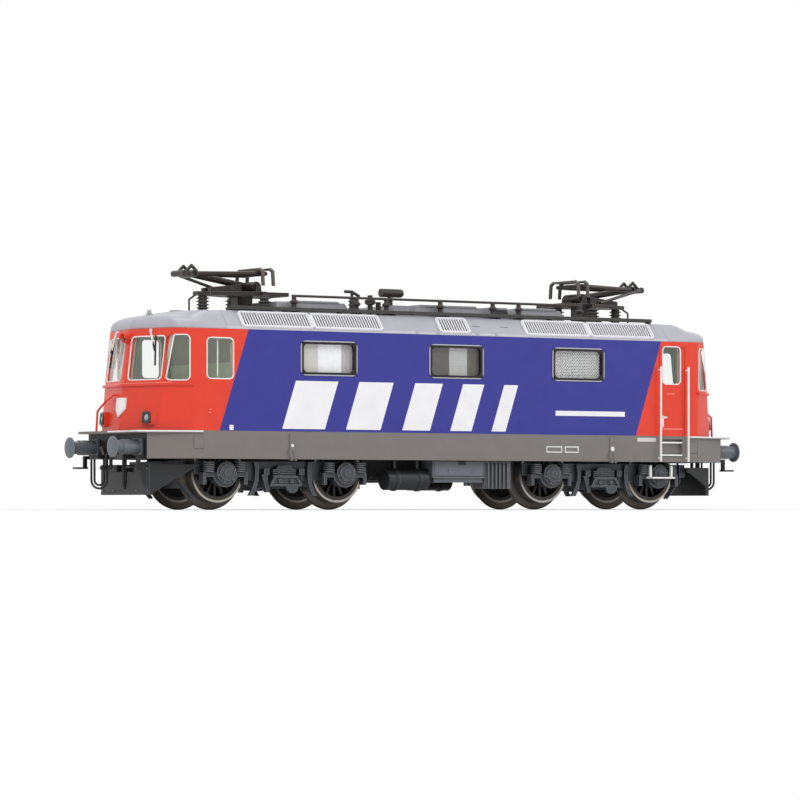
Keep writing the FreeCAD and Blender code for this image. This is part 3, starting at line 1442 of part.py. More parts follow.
def shield():
    """A blank shield plate in the middle of the cab front, bent to its vee."""
    half = shield_width / 2
    top = side_bottom + shield_centre_height + shield_height / 2
    low = top - shield_height
    outline = [(-half, top), (half, top), (half, low + shield_height * 0.4), (0, low),
               (-half, low + shield_height * 0.4)]
    band = body_form(-shield_thickness, low, top).cut(body_form(0, low - overrun, top + overrun))
    return band.common(end_prism(outline, skirt_side_end, reach))


def wiper(side):
    """A wiper arm from the top of a windscreen with its blade."""
    top = on_front(side * screen_outer * 0.62, gutter_z - rail_radius, wiper_stand_off)
    joint = on_front(side * screen_outer * 0.8, belt_z + screen_height * 0.75, wiper_stand_off)
    low = on_front(side * screen_outer * 0.84, belt_z + screen_height * 0.4, wiper_stand_off / 2)
    high = on_front(side * screen_outer * 0.76, gutter_z - wiper_stand_off * 3, wiper_stand_off / 2)
    root = on_front(side * screen_outer * 0.62, gutter_z - rail_radius, 0)
    return fused([rod(root, top, wiper_radius), rod(top, joint, wiper_radius), rod(high, low, wiper_radius),
                  rod(joint, joint.sub(front_normal(upper_rake, side) * wiper_stand_off / 2), wiper_radius)])


def air_tank():
    z = skirt_bottom - tank_centre_height
    tank = rod(Vec(tank_start, -tank_y, z), Vec(tank_start + tank_length, -tank_y, z), tank_radius)
    bands = [rod(Vec(x, -tank_y, z), Vec(x + tank_band_width, -tank_y, z), tank_radius + tank_band_rise)
             for x in (tank_start + tank_length * 0.2, tank_start + tank_length * 0.75)]
    hangers = [block(x, x + tank_band_width, -tank_y - tank_band_width, -tank_y + tank_band_width, z,
                     side_bottom - floor_thickness)
               for x in (tank_start + tank_length * 0.2, tank_start + tank_length * 0.75)]
    return fused([tank] + bands + hangers)


def underfloor_box():
    top = side_bottom - floor_thickness
    y0 = -half_width + wall + ballast_gap
    y1 = y0 + box_width
    upper = block(box_start, box_end, y0, y1, skirt_bottom - box_depth, top)
    lower = block(box_end, box_lower_end, y0, y1, skirt_bottom - box_lower_depth, top)
    fins = []
    count = int((box_lower_end - box_end) / fin_pitch)
    for index in range(count):
        x = box_end + (index + 0.5) * fin_pitch
        fins.append(block(x, x + fin_thickness, y0 - fin_depth, y0 + fin_depth, skirt_bottom - box_lower_depth,
                          skirt_bottom - fin_depth))
    return fused([upper, lower] + fins)


def ballast():
    low = side_bottom + ballast_gap
    body = block(-ballast_half_length, ballast_half_length, -ballast_half_width, ballast_half_width, low,
                 gutter_z)
    solids = [body, block(-bogie_x + well_half_length, bogie_x - well_half_length, -ballast_half_width,
                          ballast_half_width, side_bottom, low)]
    for end in (-1, 1):
        solids.append(rod(Vec(end * bogie_x, 0, block_top - pivot_depth + pivot_play),
                          Vec(end * bogie_x, 0, low + overrun), pivot_radius))
    return [fused(solids)]


def cab_interior():
    """Cab floor, rear wall, driver's desk and two seats."""
    floor_low = side_bottom
    floor_top = floor_low + cab_floor_thickness
    rear = ballast_half_length + cab_floor_clear
    room = body_form(wall + cab_floor_clear, side_bottom, gutter_z)
    floor = room.common(block(rear, reach, -reach, reach, floor_low, floor_top))
    wall_piece = block(rear, rear + cab_wall_thickness, -half_width + wall + cab_floor_clear,
                       half_width - wall - cab_floor_clear, floor_low, gutter_z)
    desk = room.common(block(belt_nose - desk_depth - wall, reach, -reach, reach, floor_top,
                             floor_low + desk_height))
    seats = []
    for side in (-1, 1):
        y = side * seat_y
        half = seat_size / 2
        seats.append(block(seat_x - half, seat_x + half, y - half, y + half, floor_low + seat_height - seat_thickness,
                           floor_low + seat_height))
        seats.append(block(seat_x - half, seat_x - half + seat_thickness, y - half, y + half,
                           floor_low + seat_height - seat_thickness, floor_low + seat_height + seat_back_height))
        seats.append(block(seat_x - half / 3, seat_x + half / 3, y - half / 3, y + half / 3, floor_low,
                           floor_low + seat_height))
    return [fused([floor, wall_piece, desk] + seats)]


def both_ends(solids):
    return solids + [turned(solid) for solid in solids]


save("housing", housing())
save("window_frames", window_frames())
save("glazing", glazing())
save("main_roof", main_roof())
save("cab_roofs", both_ends(cab_roof()))
save("roof_grilles", roof_grilles())
save("roof_walkways", both_ends([walkway()]))
save("roof_hatches", roof_hatches())
save("roof_line", roof_line())
save("line_breaker", line_breaker())
save("roof_aerials", roof_aerials())
save("underframe", underframe())
save("buffer_beams", both_ends(buffer_beam()))
save("buffers", buffers())
save("draw_hooks", both_ends([draw_hook()]))
save("brake_hoses", both_ends([brake_hose(-1), brake_hose(1)]))
save("door_handrails", both_ends(door_rails()))
save("entry_steps", both_ends(entry_steps()))
save("front_handrails", both_ends([front_rail()]))
save("headlamps", both_ends([headlamp(), across(headlamp()), top_lamp()]))
save("lamp_hoods", both_ends([lamp_fairing(), across(lamp_fairing()), top_hood()]))
save("front_shields", both_ends([shield()]))
save("wipers", both_ends([wiper(-1), wiper(1)]))
save("air_tanks", both_ends([air_tank()]))
save("underfloor_boxes", both_ends([underfloor_box()]))
save("ballast_block", ballast())
save("cab_interiors", both_ends(cab_interior()))
save("collector_bases", both_ends(collector_base()))

for end_name, place in (("right", lambda shape: shape), ("left", turned)):
    save("bogie_frame_" + end_name, [place(solid) for solid in bogie_frame()])
    save("axle_boxes_" + end_name, [place(solid) for solid in axle_boxes()])
    save("bogie_springs_" + end_name, [place(solid) for solid in bogie_springs()])
    save("brake_gear_" + end_name, [place(solid) for solid in brake_gear()])
    save("bogie_step_" + end_name, [place(solid) for solid in bogie_step()])
    save("snow_plough_" + end_name, [place(solid) for solid in snow_plough()])
    save("lower_arm_" + end_name, [place(solid) for solid in lower_arm()])
    save("upper_arm_" + end_name, [place(solid) for solid in upper_arm()])
    save("collector_head_" + end_name, [place(solid) for solid in head()])
    save("control_link_" + end_name, [place(solid) for solid in control_link()])

axle_places = (-bogie_x - wheelbase / 2, -bogie_x + wheelbase / 2, bogie_x - wheelbase / 2,
               bogie_x + wheelbase / 2)
for number, x in enumerate(axle_places, 1):
    save("wheels_" + str(number), wheel_pair(x))
    save("axle_" + str(number), [axle(x)])
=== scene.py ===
import math
import bmesh
import bpy
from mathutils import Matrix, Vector


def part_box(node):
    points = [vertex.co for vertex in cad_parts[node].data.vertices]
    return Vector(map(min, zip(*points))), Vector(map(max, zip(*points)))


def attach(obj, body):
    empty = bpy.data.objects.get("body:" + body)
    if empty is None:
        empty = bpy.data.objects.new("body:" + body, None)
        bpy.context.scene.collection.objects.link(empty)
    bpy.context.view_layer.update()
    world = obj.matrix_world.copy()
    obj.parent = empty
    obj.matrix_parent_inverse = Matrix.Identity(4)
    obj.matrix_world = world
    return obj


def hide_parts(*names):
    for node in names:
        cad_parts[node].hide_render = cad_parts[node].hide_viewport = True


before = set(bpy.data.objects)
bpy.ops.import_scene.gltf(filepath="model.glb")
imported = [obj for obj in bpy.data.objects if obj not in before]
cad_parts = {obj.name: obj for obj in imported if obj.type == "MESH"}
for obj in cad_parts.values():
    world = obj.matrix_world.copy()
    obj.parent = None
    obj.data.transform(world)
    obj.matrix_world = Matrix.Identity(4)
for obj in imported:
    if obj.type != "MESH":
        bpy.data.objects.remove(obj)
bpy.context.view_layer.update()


# Studio: a white floor that fades out round the model, a white surround and three soft lamps.
# The surround lights the model gently and shows as plain white behind it and in its reflections.
def add_node(tree, kind, feeds=None, **settings):
    made = tree.nodes.new(kind)
    for key, value in settings.items():
        setattr(made, key, value)
    for socket, value in (feeds or {}).items():
        for one in value if isinstance(value, list) else [value]:
            if isinstance(one, bpy.types.NodeSocket):
                tree.links.new(one, made.inputs[socket])
            else:
                made.inputs[socket].default_value = one
    return made


def ranged(tree, value, low, high, first, last):
    """A value between low and high, moved to the same share between first and last."""
    return add_node(tree, "ShaderNodeMapRange", {"Value": value, "From Min": low, "From Max": high,
                                                 "To Min": first, "To Max": last}).outputs[0]


def tone(code):
    """A colour written as in a paint chart, as the shader wants it."""
    parts = [int(code[i:i + 2], 16) / 255 for i in (1, 3, 5)]
    return tuple(p / 12.92 if p <= 0.04045 else ((p + 0.055) / 1.055) ** 2.4 for p in parts) + (1.0,)


def mesh_piece(name, shape, material=None):
    """A mesh object from a shape: its points in millimetres and its faces."""
    mesh = bpy.data.meshes.new(name)
    mesh.from_pydata([Vector(p) * 0.001 for p in shape[0]], [], shape[1])
    mesh.validate()
    mesh.update()
    piece = bpy.data.objects.new(name, mesh)
    bpy.context.scene.collection.objects.link(piece)
    if material:
        mesh.materials.append(material)
    return piece


def studio():
    scene = bpy.context.scene
    scene.view_settings.view_transform = "Standard"
    world = bpy.data.worlds.new("studio_surround")
    scene.world = world
    world.use_nodes = True
    tree = world.node_tree
    tree.nodes.clear()
    path = add_node(tree, "ShaderNodeLightPath")
    seen = add_node(tree, "ShaderNodeMath",
                    {0: path.outputs["Is Camera Ray"], 1: path.outputs["Is Glossy Ray"]}, operation="MAXIMUM")
    seen = add_node(tree, "ShaderNodeMath", {0: seen.outputs[0], 1: path.outputs["Is Transmission Ray"]},
                    operation="MAXIMUM")
    strength = ranged(tree, seen.outputs[0], 0.0, 1.0, 0.5, 1.0)
    light = add_node(tree, "ShaderNodeBackground", {"Color": (1, 1, 1, 1), "Strength": strength})
    add_node(tree, "ShaderNodeOutputWorld", {"Surface": light.outputs[0]})

    floor_paint = bpy.data.materials.new("studio_floor")
    floor_paint.use_nodes = True
    tree = floor_paint.node_tree
    tree.nodes.clear()
    place = add_node(tree, "ShaderNodeTexCoord").outputs["Object"]
    distance = add_node(tree, "ShaderNodeVectorMath", {0: place}, operation="LENGTH").outputs["Value"]
    fade = add_node(tree, "ShaderNodeMapRange", {"Value": distance, "From Min": 0.06, "From Max": 0.16},
                    interpolation_type="SMOOTHSTEP")
    path = add_node(tree, "ShaderNodeLightPath")
    share = add_node(tree, "ShaderNodeMath", {0: fade.outputs[0], 1: path.outputs["Is Camera Ray"]},
                     operation="MULTIPLY")
    matt = add_node(tree, "ShaderNodeBsdfDiffuse", {"Color": (0.9, 0.9, 0.9, 1)})
    glow = add_node(tree, "ShaderNodeEmission", {"Color": (1, 1, 1, 1), "Strength": 1.0})
    both = add_node(tree, "ShaderNodeMixShader",
                    {0: share.outputs[0], 1: matt.outputs[0], 2: glow.outputs[0]})
    add_node(tree, "ShaderNodeOutputMaterial", {"Surface": both.outputs[0]})
    size = 3000
    mesh_piece("studio_floor", ([(-size, -size, 0), (size, -size, 0),
                                          (size, size, 0), (-size, size, 0)], [(0, 1, 2, 3)]), floor_paint)

    model_middle = Vector((0, 0, 0.012))
    for name, place, size, power in (("key_lamp", (-0.34, -0.42, 0.42), 0.34, 1.5),
                                     ("side_lamp", (0.42, -0.34, 0.26), 0.3, 0.62),
                                     ("top_lamp", (0.0, 0.12, 0.5), 0.4, 1.0)):
        lamp = bpy.data.lights.new(name, "AREA")
        lamp.size = size
        lamp.energy = power
        holder = bpy.data.objects.new(name, lamp)
        holder.location = place
        holder.rotation_euler = (model_middle - Vector(place)).to_track_quat("-Z", "Y").to_euler()
        scene.collection.objects.link(holder)

    optics = bpy.data.cameras.new("photo_camera")
    optics.sensor_width = 36.0
    optics.lens = 171.8
    optics.shift_y = 0.1308
    optics.clip_start = 0.01
    camera = bpy.data.objects.new("photo_camera", optics)
    camera.location = (-0.273958, -0.413223, 0.000653)
    camera.rotation_euler = (math.radians(90), 0, math.radians(-33.3))
    scene.collection.objects.link(camera)
    scene.camera = camera


studio()


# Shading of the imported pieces: curved faces run smoothly into each other and edges that turn
# by more than about thirty degrees stay crisp. The meshes themselves aren't touched.
def modifier_group(name, sizes):
    """A node group that takes geometry and named sizes and gives geometry."""
    group = bpy.data.node_groups.new(name, "GeometryNodeTree")
    group.is_modifier = True
    for label, kind in {"Geometry": "Geometry", **sizes}.items():
        group.interface.new_socket(label, in_out="INPUT", socket_type="NodeSocket" + kind)
    group.interface.new_socket("Geometry", in_out="OUTPUT", socket_type="NodeSocketGeometry")
    return group


def crisp_smooth(piece):
    group = bpy.data.node_groups.get("crisp_smooth")
    if group is None:
        group = modifier_group("crisp_smooth", {"Sharp turn": "Float"})
        group.interface.items_tree["Sharp turn"].default_value = math.radians(30)
        start = add_node(group, "NodeGroupInput")
        plain = add_node(group, "GeometryNodeRemoveAttribute",
                         {"Geometry": start.outputs[0], "Name": "custom_normal"})
        welded = add_node(group, "GeometryNodeMergeByDistance",
                          {"Geometry": plain.outputs[0], "Distance": 1e-6})
        smooth = add_node(group, "GeometryNodeSetShadeSmooth",
                          {"Geometry": welded.outputs[0], "Shade Smooth": True}, domain="FACE")
        angle = add_node(group, "GeometryNodeInputMeshEdgeAngle")
        sharp = add_node(group, "FunctionNodeCompare",
                         {0: angle.outputs["Unsigned Angle"], 1: start.outputs["Sharp turn"]},
                         data_type="FLOAT", operation="GREATER_THAN")
        crisp = add_node(group, "GeometryNodeSetShadeSmooth",
                         {"Geometry": smooth.outputs[0], "Selection": sharp.outputs[0],
                          "Shade Smooth": False}, domain="EDGE")
        add_node(group, "NodeGroupOutput", {"Geometry": crisp.outputs[0]})
    piece.modifiers.new("crisp_smooth", "NODES").node_group = group


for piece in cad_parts.values():
    crisp_smooth(piece)


# Paint and moulded plastic: a faint mottle, a fine grain and rounded edges painted slightly lighter,
# partly as wear on a small sprayed moulding and partly as a painted highlight. A pattern may give the
# colour from the place on the piece, and painted shade darkens the recesses of what hangs under the
# floor or stands on the roof.
def painted(tree, mask, below, above):
    """One colour with another laid over it where the mask is 1."""
    below, above = (tone(colour) if isinstance(colour, str) else colour for colour in (below, above))
    return add_node(tree, "ShaderNodeMix", {0: mask, 6: below, 7: above}, data_type="RGBA").outputs[2]


def moulded(name, code, rough=0.42, mottle=0.06, edge_wear_and_highlight=0.12, metal=0.0, pattern=None, recess_shade=0.0):
    made = bpy.data.materials.new(name)
    made.use_nodes = True
    tree = made.node_tree
    shader = tree.nodes["Principled BSDF"]
    place = add_node(tree, "ShaderNodeTexCoord").outputs["Object"]
    colour = pattern(tree, place) if pattern else tone(code)[:3]
    blotch = add_node(tree, "ShaderNodeTexNoise", {"Vector": place, "Scale": 420.0, "Detail": 4.0})
    shade = ranged(tree, blotch.outputs[0], 0.3, 0.7, 1 - mottle, 1 + mottle)
    toned = add_node(tree, "ShaderNodeVectorMath", {0: colour, "Scale": shade}, operation="SCALE")
    bevel = add_node(tree, "ShaderNodeBevel", {"Radius": 0.00007}, samples=4)
    flat = add_node(tree, "ShaderNodeNewGeometry")
    bend = add_node(tree, "ShaderNodeVectorMath", {0: bevel.outputs[0], 1: flat.outputs["Normal"]},
                    operation="DOT_PRODUCT")
    # Painted highlight and wear: edges, found where the bevelled normal turns from the flat one, are painted
    # lighter.
    edge = ranged(tree, bend.outputs["Value"], 0.99, 0.86, 0.0, edge_wear_and_highlight)
    finished = painted(tree, edge, toned.outputs[0], (0.9, 0.9, 0.9, 1))
    # Painted shade: recesses found by ambient occlusion are darkened towards near black.
    if recess_shade:
        shelter = add_node(tree, "ShaderNodeAmbientOcclusion", {"Distance": 0.0013}, samples=6)
        depth = ranged(tree, shelter.outputs["AO"], 0.2, 0.92, recess_shade, 0.0)
        finished = painted(tree, depth, finished, "#141212")
    tree.links.new(finished, shader.inputs["Base Color"])
    dull = ranged(tree, blotch.outputs[0], 0.3, 0.7, rough - 0.05, rough + 0.07)
    tree.links.new(dull, shader.inputs["Roughness"])
    grain = add_node(tree, "ShaderNodeTexNoise", {"Vector": place, "Scale": 14000.0, "Detail": 2.0})
    bump = add_node(tree, "ShaderNodeBump", {"Strength": 0.35, "Distance": 0.000003,
                                             "Height": grain.outputs[0], "Normal": bevel.outputs[0]})
    tree.links.new(bump.outputs[0], shader.inputs["Normal"])
    shader.inputs["Metallic"].default_value = metal
    shader.inputs["Specular IOR Level"].default_value = 0.35
    return made


def finish_node(name, material):
    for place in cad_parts[name].material_slots:
        place.material = material


# Housing: a plastic moulding printed with a blue field between slanted edges, red cab ends, a row
# of plain slanted white bars and one thin bar beside the door, the same way round on both sides.
# The wall's inner face is pale green, and the belt ledge's top at each cab front is painted a
# lighter red as a painted highlight.
def maths(tree, operation, *values):
    return add_node(tree, "ShaderNodeMath", dict(enumerate(values)), operation=operation).outputs[0]


def over(tree, value, limit):
    return maths(tree, "GREATER_THAN", value, limit)


def side_axes(tree, place):
    """Millimetres along a side, the same way round on both sides, and millimetres up."""
    axes = add_node(tree, "ShaderNodeSeparateXYZ", {0: place}).outputs
    back = maths(tree, "MULTIPLY", maths(tree, "SIGN", axes["Y"]), -1000.0)
    return maths(tree, "MULTIPLY", axes["X"], back), maths(tree, "MULTIPLY", axes["Z"], 1000.0)


def spans(tree, place):
    """Millimetres from the model's middle along X and Y and from its foot, none below 0."""
    size = add_node(tree, "ShaderNodeVectorMath", {0: place}, operation="ABSOLUTE").outputs[0]
    size = add_node(tree, "ShaderNodeVectorMath", {0: size, "Scale": 1000.0}, operation="SCALE").outputs[0]
    return add_node(tree, "ShaderNodeSeparateXYZ", {0: size}).outputs


def patch(tree, axes, x0, x1, z0, z1):
    """1 inside a rectangle on the side, else 0."""
    within = maths(tree, "COMPARE", axes[0], (x0 + x1) / 2, (x1 - x0) / 2)
    return maths(tree, "MULTIPLY", within, maths(tree, "COMPARE", axes[1], (z0 + z1) / 2, (z1 - z0) / 2))


def any_of(tree, masks):
    found = masks[0]
    for mask in masks[1:]:
        found = maths(tree, "MAXIMUM", found, mask)
    return found


front_slope, front_rake, cheek_slope = 0.2217, 0.1416, 0.5968


def body_livery(tree, place):
    axes = side_axes(tree, place)
    lean, lean_height = 0.332, 16.0
    slanted = maths(tree, "MULTIPLY_ADD", axes[1], -lean, maths(tree, "ADD", axes[0], lean_height * lean))
    field = maths(tree, "COMPARE", slanted, -1.17, 31.88)
    two = painted(tree, field, "#E4402B", "#343691")
    row_start, row_end = -26.0, 14.0
    bars = add_node(tree, "ShaderNodeValToRGB", {0: ranged(tree, slanted, row_start, row_end, 0.0, 1.0)})
    bars.color_ramp.interpolation = "CONSTANT"
    stops = bars.color_ramp.elements
    stops[0].color = (0, 0, 0, 1)
    stops[1].position, stops[1].color = 1.0, (0, 0, 0, 1)
    start, gap = -24.2, 3.2
    for width in (6.2, 5.2, 4.2, 3.2, 2.2):
        for edge, level in ((start, 1.0), (start + width, 0.0)):
            stops.new((edge - row_start) / (row_end - row_start)).color = (level, level, level, 1)
        start += width + gap
    barred = maths(tree, "MULTIPLY", bars.outputs[0], maths(tree, "COMPARE", axes[1], 13.07, 3.0))
    white = any_of(tree, [barred, patch(tree, axes, 15.6, 26.8, 12.23, 12.87),
                          patch(tree, axes, -33.7, -33.13, 9.84, 10.47)])
    two = painted(tree, white, two, "#F1F1F4")
    # Painted highlight: the belt ledge's top at the cab fronts is painted a lighter red; a few short lines by
    # the doors are drawn in the same red.
    ledge_highlight_and_pale_lines = any_of(tree, [patch(tree, axes, *edges) for edges in (
        (-50.0, -41.2, 15.56, 15.68), (41.2, 50.0, 15.56, 15.68), (33.77, 35.11, 15.29, 15.41),
        (32.61, 36.44, 10.63, 10.77), (-36.65, -36.35, 11.9, 12.02), (-36.55, -36.25, 12.28, 12.4))])
    two = painted(tree, ledge_highlight_and_pale_lines, two, "#F08A7C")
    x, y, z = spans(tree, place)
    nose = maths(tree, "MULTIPLY_ADD", y, front_slope, maths(tree, "MULTIPLY_ADD", z, front_rake, x))
    cheek = maths(tree, "MULTIPLY_ADD", x, cheek_slope, y)
    walls = (y, 8.98), (nose, 45.4), (cheek, 32.2)
    outside = any_of(tree, [over(tree, value, wall_middle) for value, wall_middle in walls])
    return painted(tree, outside, "#C3CCBA", two)


finish_node("housing", moulded("body_livery", None, 0.34, 0.03, 0.06, pattern=body_livery))


# Underframe, beams and main roof, all moulded plastic: satin grey-brown with blank plates and
# marks, a white line round each buffer beam's platform and black below it, and a light grey
# roof that is paler at its eaves, with two dark slots on each side.
def dot(tree, axes, x, z, radius):
    flat = add_node(tree, "ShaderNodeCombineXYZ", {0: axes[0], 1: axes[1]})
    away = add_node(tree, "ShaderNodeVectorMath", {0: flat.outputs[0], 1: (x, z, 0)}, operation="DISTANCE")
    return maths(tree, "LESS_THAN", away.outputs["Value"], radius)


def skirt_marks(tree, place):
    axes = side_axes(tree, place)
    line, panel_foot, panel_top = 0.13, 7.43, 8.24
    white = [dot(tree, axes, 24.71, 7.97, 0.3), dot(tree, axes, -24.68, 8.0, 0.2)]
    for x0, x1 in ((14.15, 16.66), (17.1, 19.29)):
        blank = patch(tree, axes, x0 + line, x1 - line, panel_foot + line, panel_top - line)
        white.append(maths(tree, "SUBTRACT", patch(tree, axes, x0, x1, panel_foot, panel_top), blank))
    marked = painted(tree, any_of(tree, white), "#7B7672", "#EDECEA")
    return painted(tree, patch(tree, axes, 28.86, 31.95, 8.98, 9.49), marked, "#D6D2D0")


def beam_marks(tree, place):
    x, y, z = spans(tree, place)
    front = maths(tree, "MULTIPLY", over(tree, x, 44.26), maths(tree, "LESS_THAN", z, 9.4))
    side_end, taper = 38.9, 0.2838
    past_side = maths(tree, "MAXIMUM", maths(tree, "SUBTRACT", x, side_end), 0.0)
    slant = maths(tree, "MULTIPLY_ADD", past_side, taper, y)
    across = add_node(tree, "ShaderNodeSeparateXYZ", {0: place}).outputs
    near = over(tree, maths(tree, "MULTIPLY", across["X"], across["Y"]), 0.0)
    tip = maths(tree, "MULTIPLY", near, over(tree, x, 45.5))
    rim = maths(tree, "MULTIPLY", any_of(tree, [tip, over(tree, slant, 9.3)]), over(tree, z, 9.56))
    return painted(tree, rim, painted(tree, front, "#7B7672", "#161617"), "#ECECEA")


def roof_marks(tree, place):
    axes = side_axes(tree, place)
    slots = [patch(tree, axes, x0, x1, 23.52, 23.6) for x0, x1 in ((3.08, 4.24), (7.37, 8.63))]
    eave = painted(tree, maths(tree, "LESS_THAN", axes[1], 22.62), "#B0B0B8", "#C2C2C9")
    return painted(tree, any_of(tree, slots), eave, "#55555A")


finish_node("main_roof", moulded("main_roof_paint", None, 0.4, 0.04, 0.06, pattern=roof_marks))
finish_node("underframe", moulded("skirt_paint", None, 0.45, 0.04, 0.06, pattern=skirt_marks))
finish_node("buffer_beams", moulded("beam_paint", None, 0.45, 0.04, 0.06, pattern=beam_marks))


# The other imported pieces in one plain finish, grouped by the paint they share: moulded plastic
# for most, painted metal for collectors, buffers and ballast block, and bare steel for the axles.
# Columns: paint colour, roughness, metal, lighter edges (wear and painted highlight), painted shade in
# recesses, and the pieces.
for code, rough, metal, edge_wear_and_highlight, recess_shade, names in (
        ("#A9A9B1", 0.42, 0.0, 0.08, 0.0, ("roof_aerials",)),
        ("#3E3D3C", 0.55, 0.0, 0.16, 0.3, ("roof_walkways",)),
        ("#9A9A9E", 0.45, 0.0, 0.14, 0.3, ("roof_hatches",)),
        ("#37312F", 0.4, 0.0, 0.2, 0.4, ("roof_line",)),
        ("#37312E", 0.28, 0.15, 0.4, 0.6, ("collector_bases", "line_breaker", "lower_arm_left",
                                           "lower_arm_right", "upper_arm_left", "upper_arm_right")),
        ("#5A544F", 0.32, 0.4, 0.45, 0.5, ("collector_head_left", "collector_head_right",
                                           "control_link_left", "control_link_right")),
        ("#222223", 0.36, 0.0, 0.16, 0.3, ("draw_hooks", "brake_hoses")),
        ("#666C72", 0.34, 0.15, 0.25, 0.4, ("buffers",)),
        ("#EFEFEC", 0.4, 0.0, 0.0, 0.0, ("door_handrails", "bogie_step_left", "bogie_step_right",
                                         "front_shields")),
        ("#E4402B", 0.38, 0.0, 0.08, 0.0, ("front_handrails", "lamp_hoods")),
        ("#2A2B2D", 0.34, 0.0, 0.2, 0.5, ("air_tanks", "snow_plough_left", "snow_plough_right")),
        ("#62666C", 0.42, 0.0, 0.2, 0.5, ("underfloor_boxes",)),
        ("#5A5B5E", 0.5, 0.4, 0.1, 0.3, ("ballast_block",)),
        ("#464A50", 0.36, 0.05, 0.6, 0.95, ("bogie_frame_left", "bogie_frame_right", "axle_boxes_left",
                                           "axle_boxes_right", "brake_gear_left", "brake_gear_right")),
        ("#8F8E8C", 0.32, 0.9, 0.1, 0.3, ("axle_1", "axle_2", "axle_3", "axle_4"))):
    shared = moulded("paint_" + names[0], code, rough, edge_wear_and_highlight=edge_wear_and_highlight, metal=metal, recess_shade=recess_shade)
    for name in names:
        finish_node(name, shared)


# Imported pieces whose finish changes over them: steel wheels with bright treads, the silver line
# and black rubber round each machine room window, white wiper arms with dark blades, and green
# cab fittings, steps and lamp cases in plastic. The cab fittings are painted paler at window
# height than the plastic itself, as painted light inside the cab.
axle_height = 4.6


def radius_from(tree, place, x):
    """Millimetres from the axle at this place along the locomotive."""
    centre = add_node(tree, "ShaderNodeVectorMath", {0: place, 1: (x, 0.0, axle_height * 0.001)},
                      operation="SUBTRACT")
    flat = add_node(tree, "ShaderNodeVectorMath", {0: centre.outputs[0], 1: (1000.0, 0.0, 1000.0)},
                    operation="MULTIPLY")
    return add_node(tree, "ShaderNodeVectorMath", {0: flat.outputs[0]}, operation="LENGTH").outputs["Value"]


def wheel_finish(x):
    rim_start, tread_start, flange_start = 2.97, 3.42, 3.69

    def pattern(tree, place):
        radius = radius_from(tree, place, x)
        rim = painted(tree, over(tree, radius, rim_start), "#2F2A28", "#3F3A37")
        edge = painted(tree, over(tree, radius, tread_start), rim, "#B9B2AA")
        return painted(tree, over(tree, radius, flange_start), edge, "#6B645E")
    return moulded("wheel_steel", None, 0.34, 0.05, 0.1, 0.45, pattern, 0.4)


for number in range(1, 5):
    low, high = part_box("wheels_" + str(number))
    finish_node("wheels_" + str(number), wheel_finish((low.x + high.x) / 2))


window_pitch, window_middle = 19.24, 18.925


def frame_bands(tree, place):
    axes = side_axes(tree, place)
    half_width, half_height = 4.05, 2.05
    along = maths(tree, "FLOORED_MODULO", maths(tree, "ADD", axes[0], window_pitch * 1.5), window_pitch)
    across = maths(tree, "ABSOLUTE", maths(tree, "SUBTRACT", along, window_pitch / 2))
    tall = maths(tree, "ABSOLUTE", maths(tree, "SUBTRACT", axes[1], window_middle))
    outer = any_of(tree, [maths(tree, "SUBTRACT", across, half_width),
                          maths(tree, "SUBTRACT", tall, half_height)])
    return painted(tree, over(tree, outer, 0.0), "#1B1A1A", "#BDBFC4")


def wiper_bands(tree, place):
    x, y, z = spans(tree, place)
    wiper_top, blade_slope, blade_start = 21.4, 0.146, 4.98
    across = maths(tree, "MULTIPLY_ADD", maths(tree, "SUBTRACT", z, wiper_top), blade_slope, y)
    return painted(tree, maths(tree, "LESS_THAN", across, blade_start), "#262424", "#EFEEEC")


def cab_colours(tree, place):
    # Painted light: from 15.2 to 18.3 mm the fittings are painted a near white green, paler than the plastic,
    # in place of light falling into the cab.
    height = spans(tree, place)["Z"]
    low = painted(tree, over(tree, height, 15.2), "#C6DCB9", "#E6F8D8")
    return painted(tree, over(tree, height, 18.3), low, "#BCC8B0")


def step_bands(tree, place):
    return painted(tree, over(tree, spans(tree, place)["X"], 37.6), "#ECECEA", "#6A7076")


def lamp_bands(tree, place):
    return painted(tree, over(tree, spans(tree, place)["Z"], 15.0), "#3A3B3E", "#D93C28")


finish_node("window_frames", moulded("window_rubber", None, 0.4, 0.03, 0.05, 0.1, frame_bands))
finish_node("wipers", moulded("wiper_paint", None, 0.4, 0.03, 0.05, 0.0, wiper_bands))
finish_node("cab_interiors", moulded("cab_plastic", None, 0.6, 0.05, 0.06, 0.0, cab_colours))
finish_node("entry_steps", moulded("step_paint", None, 0.42, 0.03, 0.0, 0.0, step_bands))
finish_node("headlamps", moulded("lamp_cases", None, 0.38, 0.04, 0.1, 0.05, lamp_bands))


# Glazing: clear polished plastic panes with a very faint green tint, set into the wall. The index
# is turned over on a pane's back face, where the node turns it over again, so that no pane acts
# as a mirror at a slant.
def clear_pane():
    made = bpy.data.materials.new("clear_pane")
    made.use_nodes = True
    tree = made.node_tree
    tree.nodes.clear()
    behind = add_node(tree, "ShaderNodeNewGeometry").outputs["Backfacing"]
    clear = 1.46
    fresnel = add_node(tree, "ShaderNodeFresnel", {"IOR": ranged(tree, behind, 0.0, 1.0, clear, 1 / clear)})
    through = add_node(tree, "ShaderNodeBsdfTransparent", {"Color": (0.985, 0.99, 0.985, 1)})
    gloss = add_node(tree, "ShaderNodeBsdfGlossy", {"Color": (1, 1, 1, 1), "Roughness": 0.04})
    both = add_node(tree, "ShaderNodeMixShader", {0: fresnel.outputs[0], 1: through.outputs[0],
                                                  2: gloss.outputs[0]})
    add_node(tree, "ShaderNodeOutputMaterial", {"Surface": both.outputs[0]})
    return made


finish_node("glazing", clear_pane())


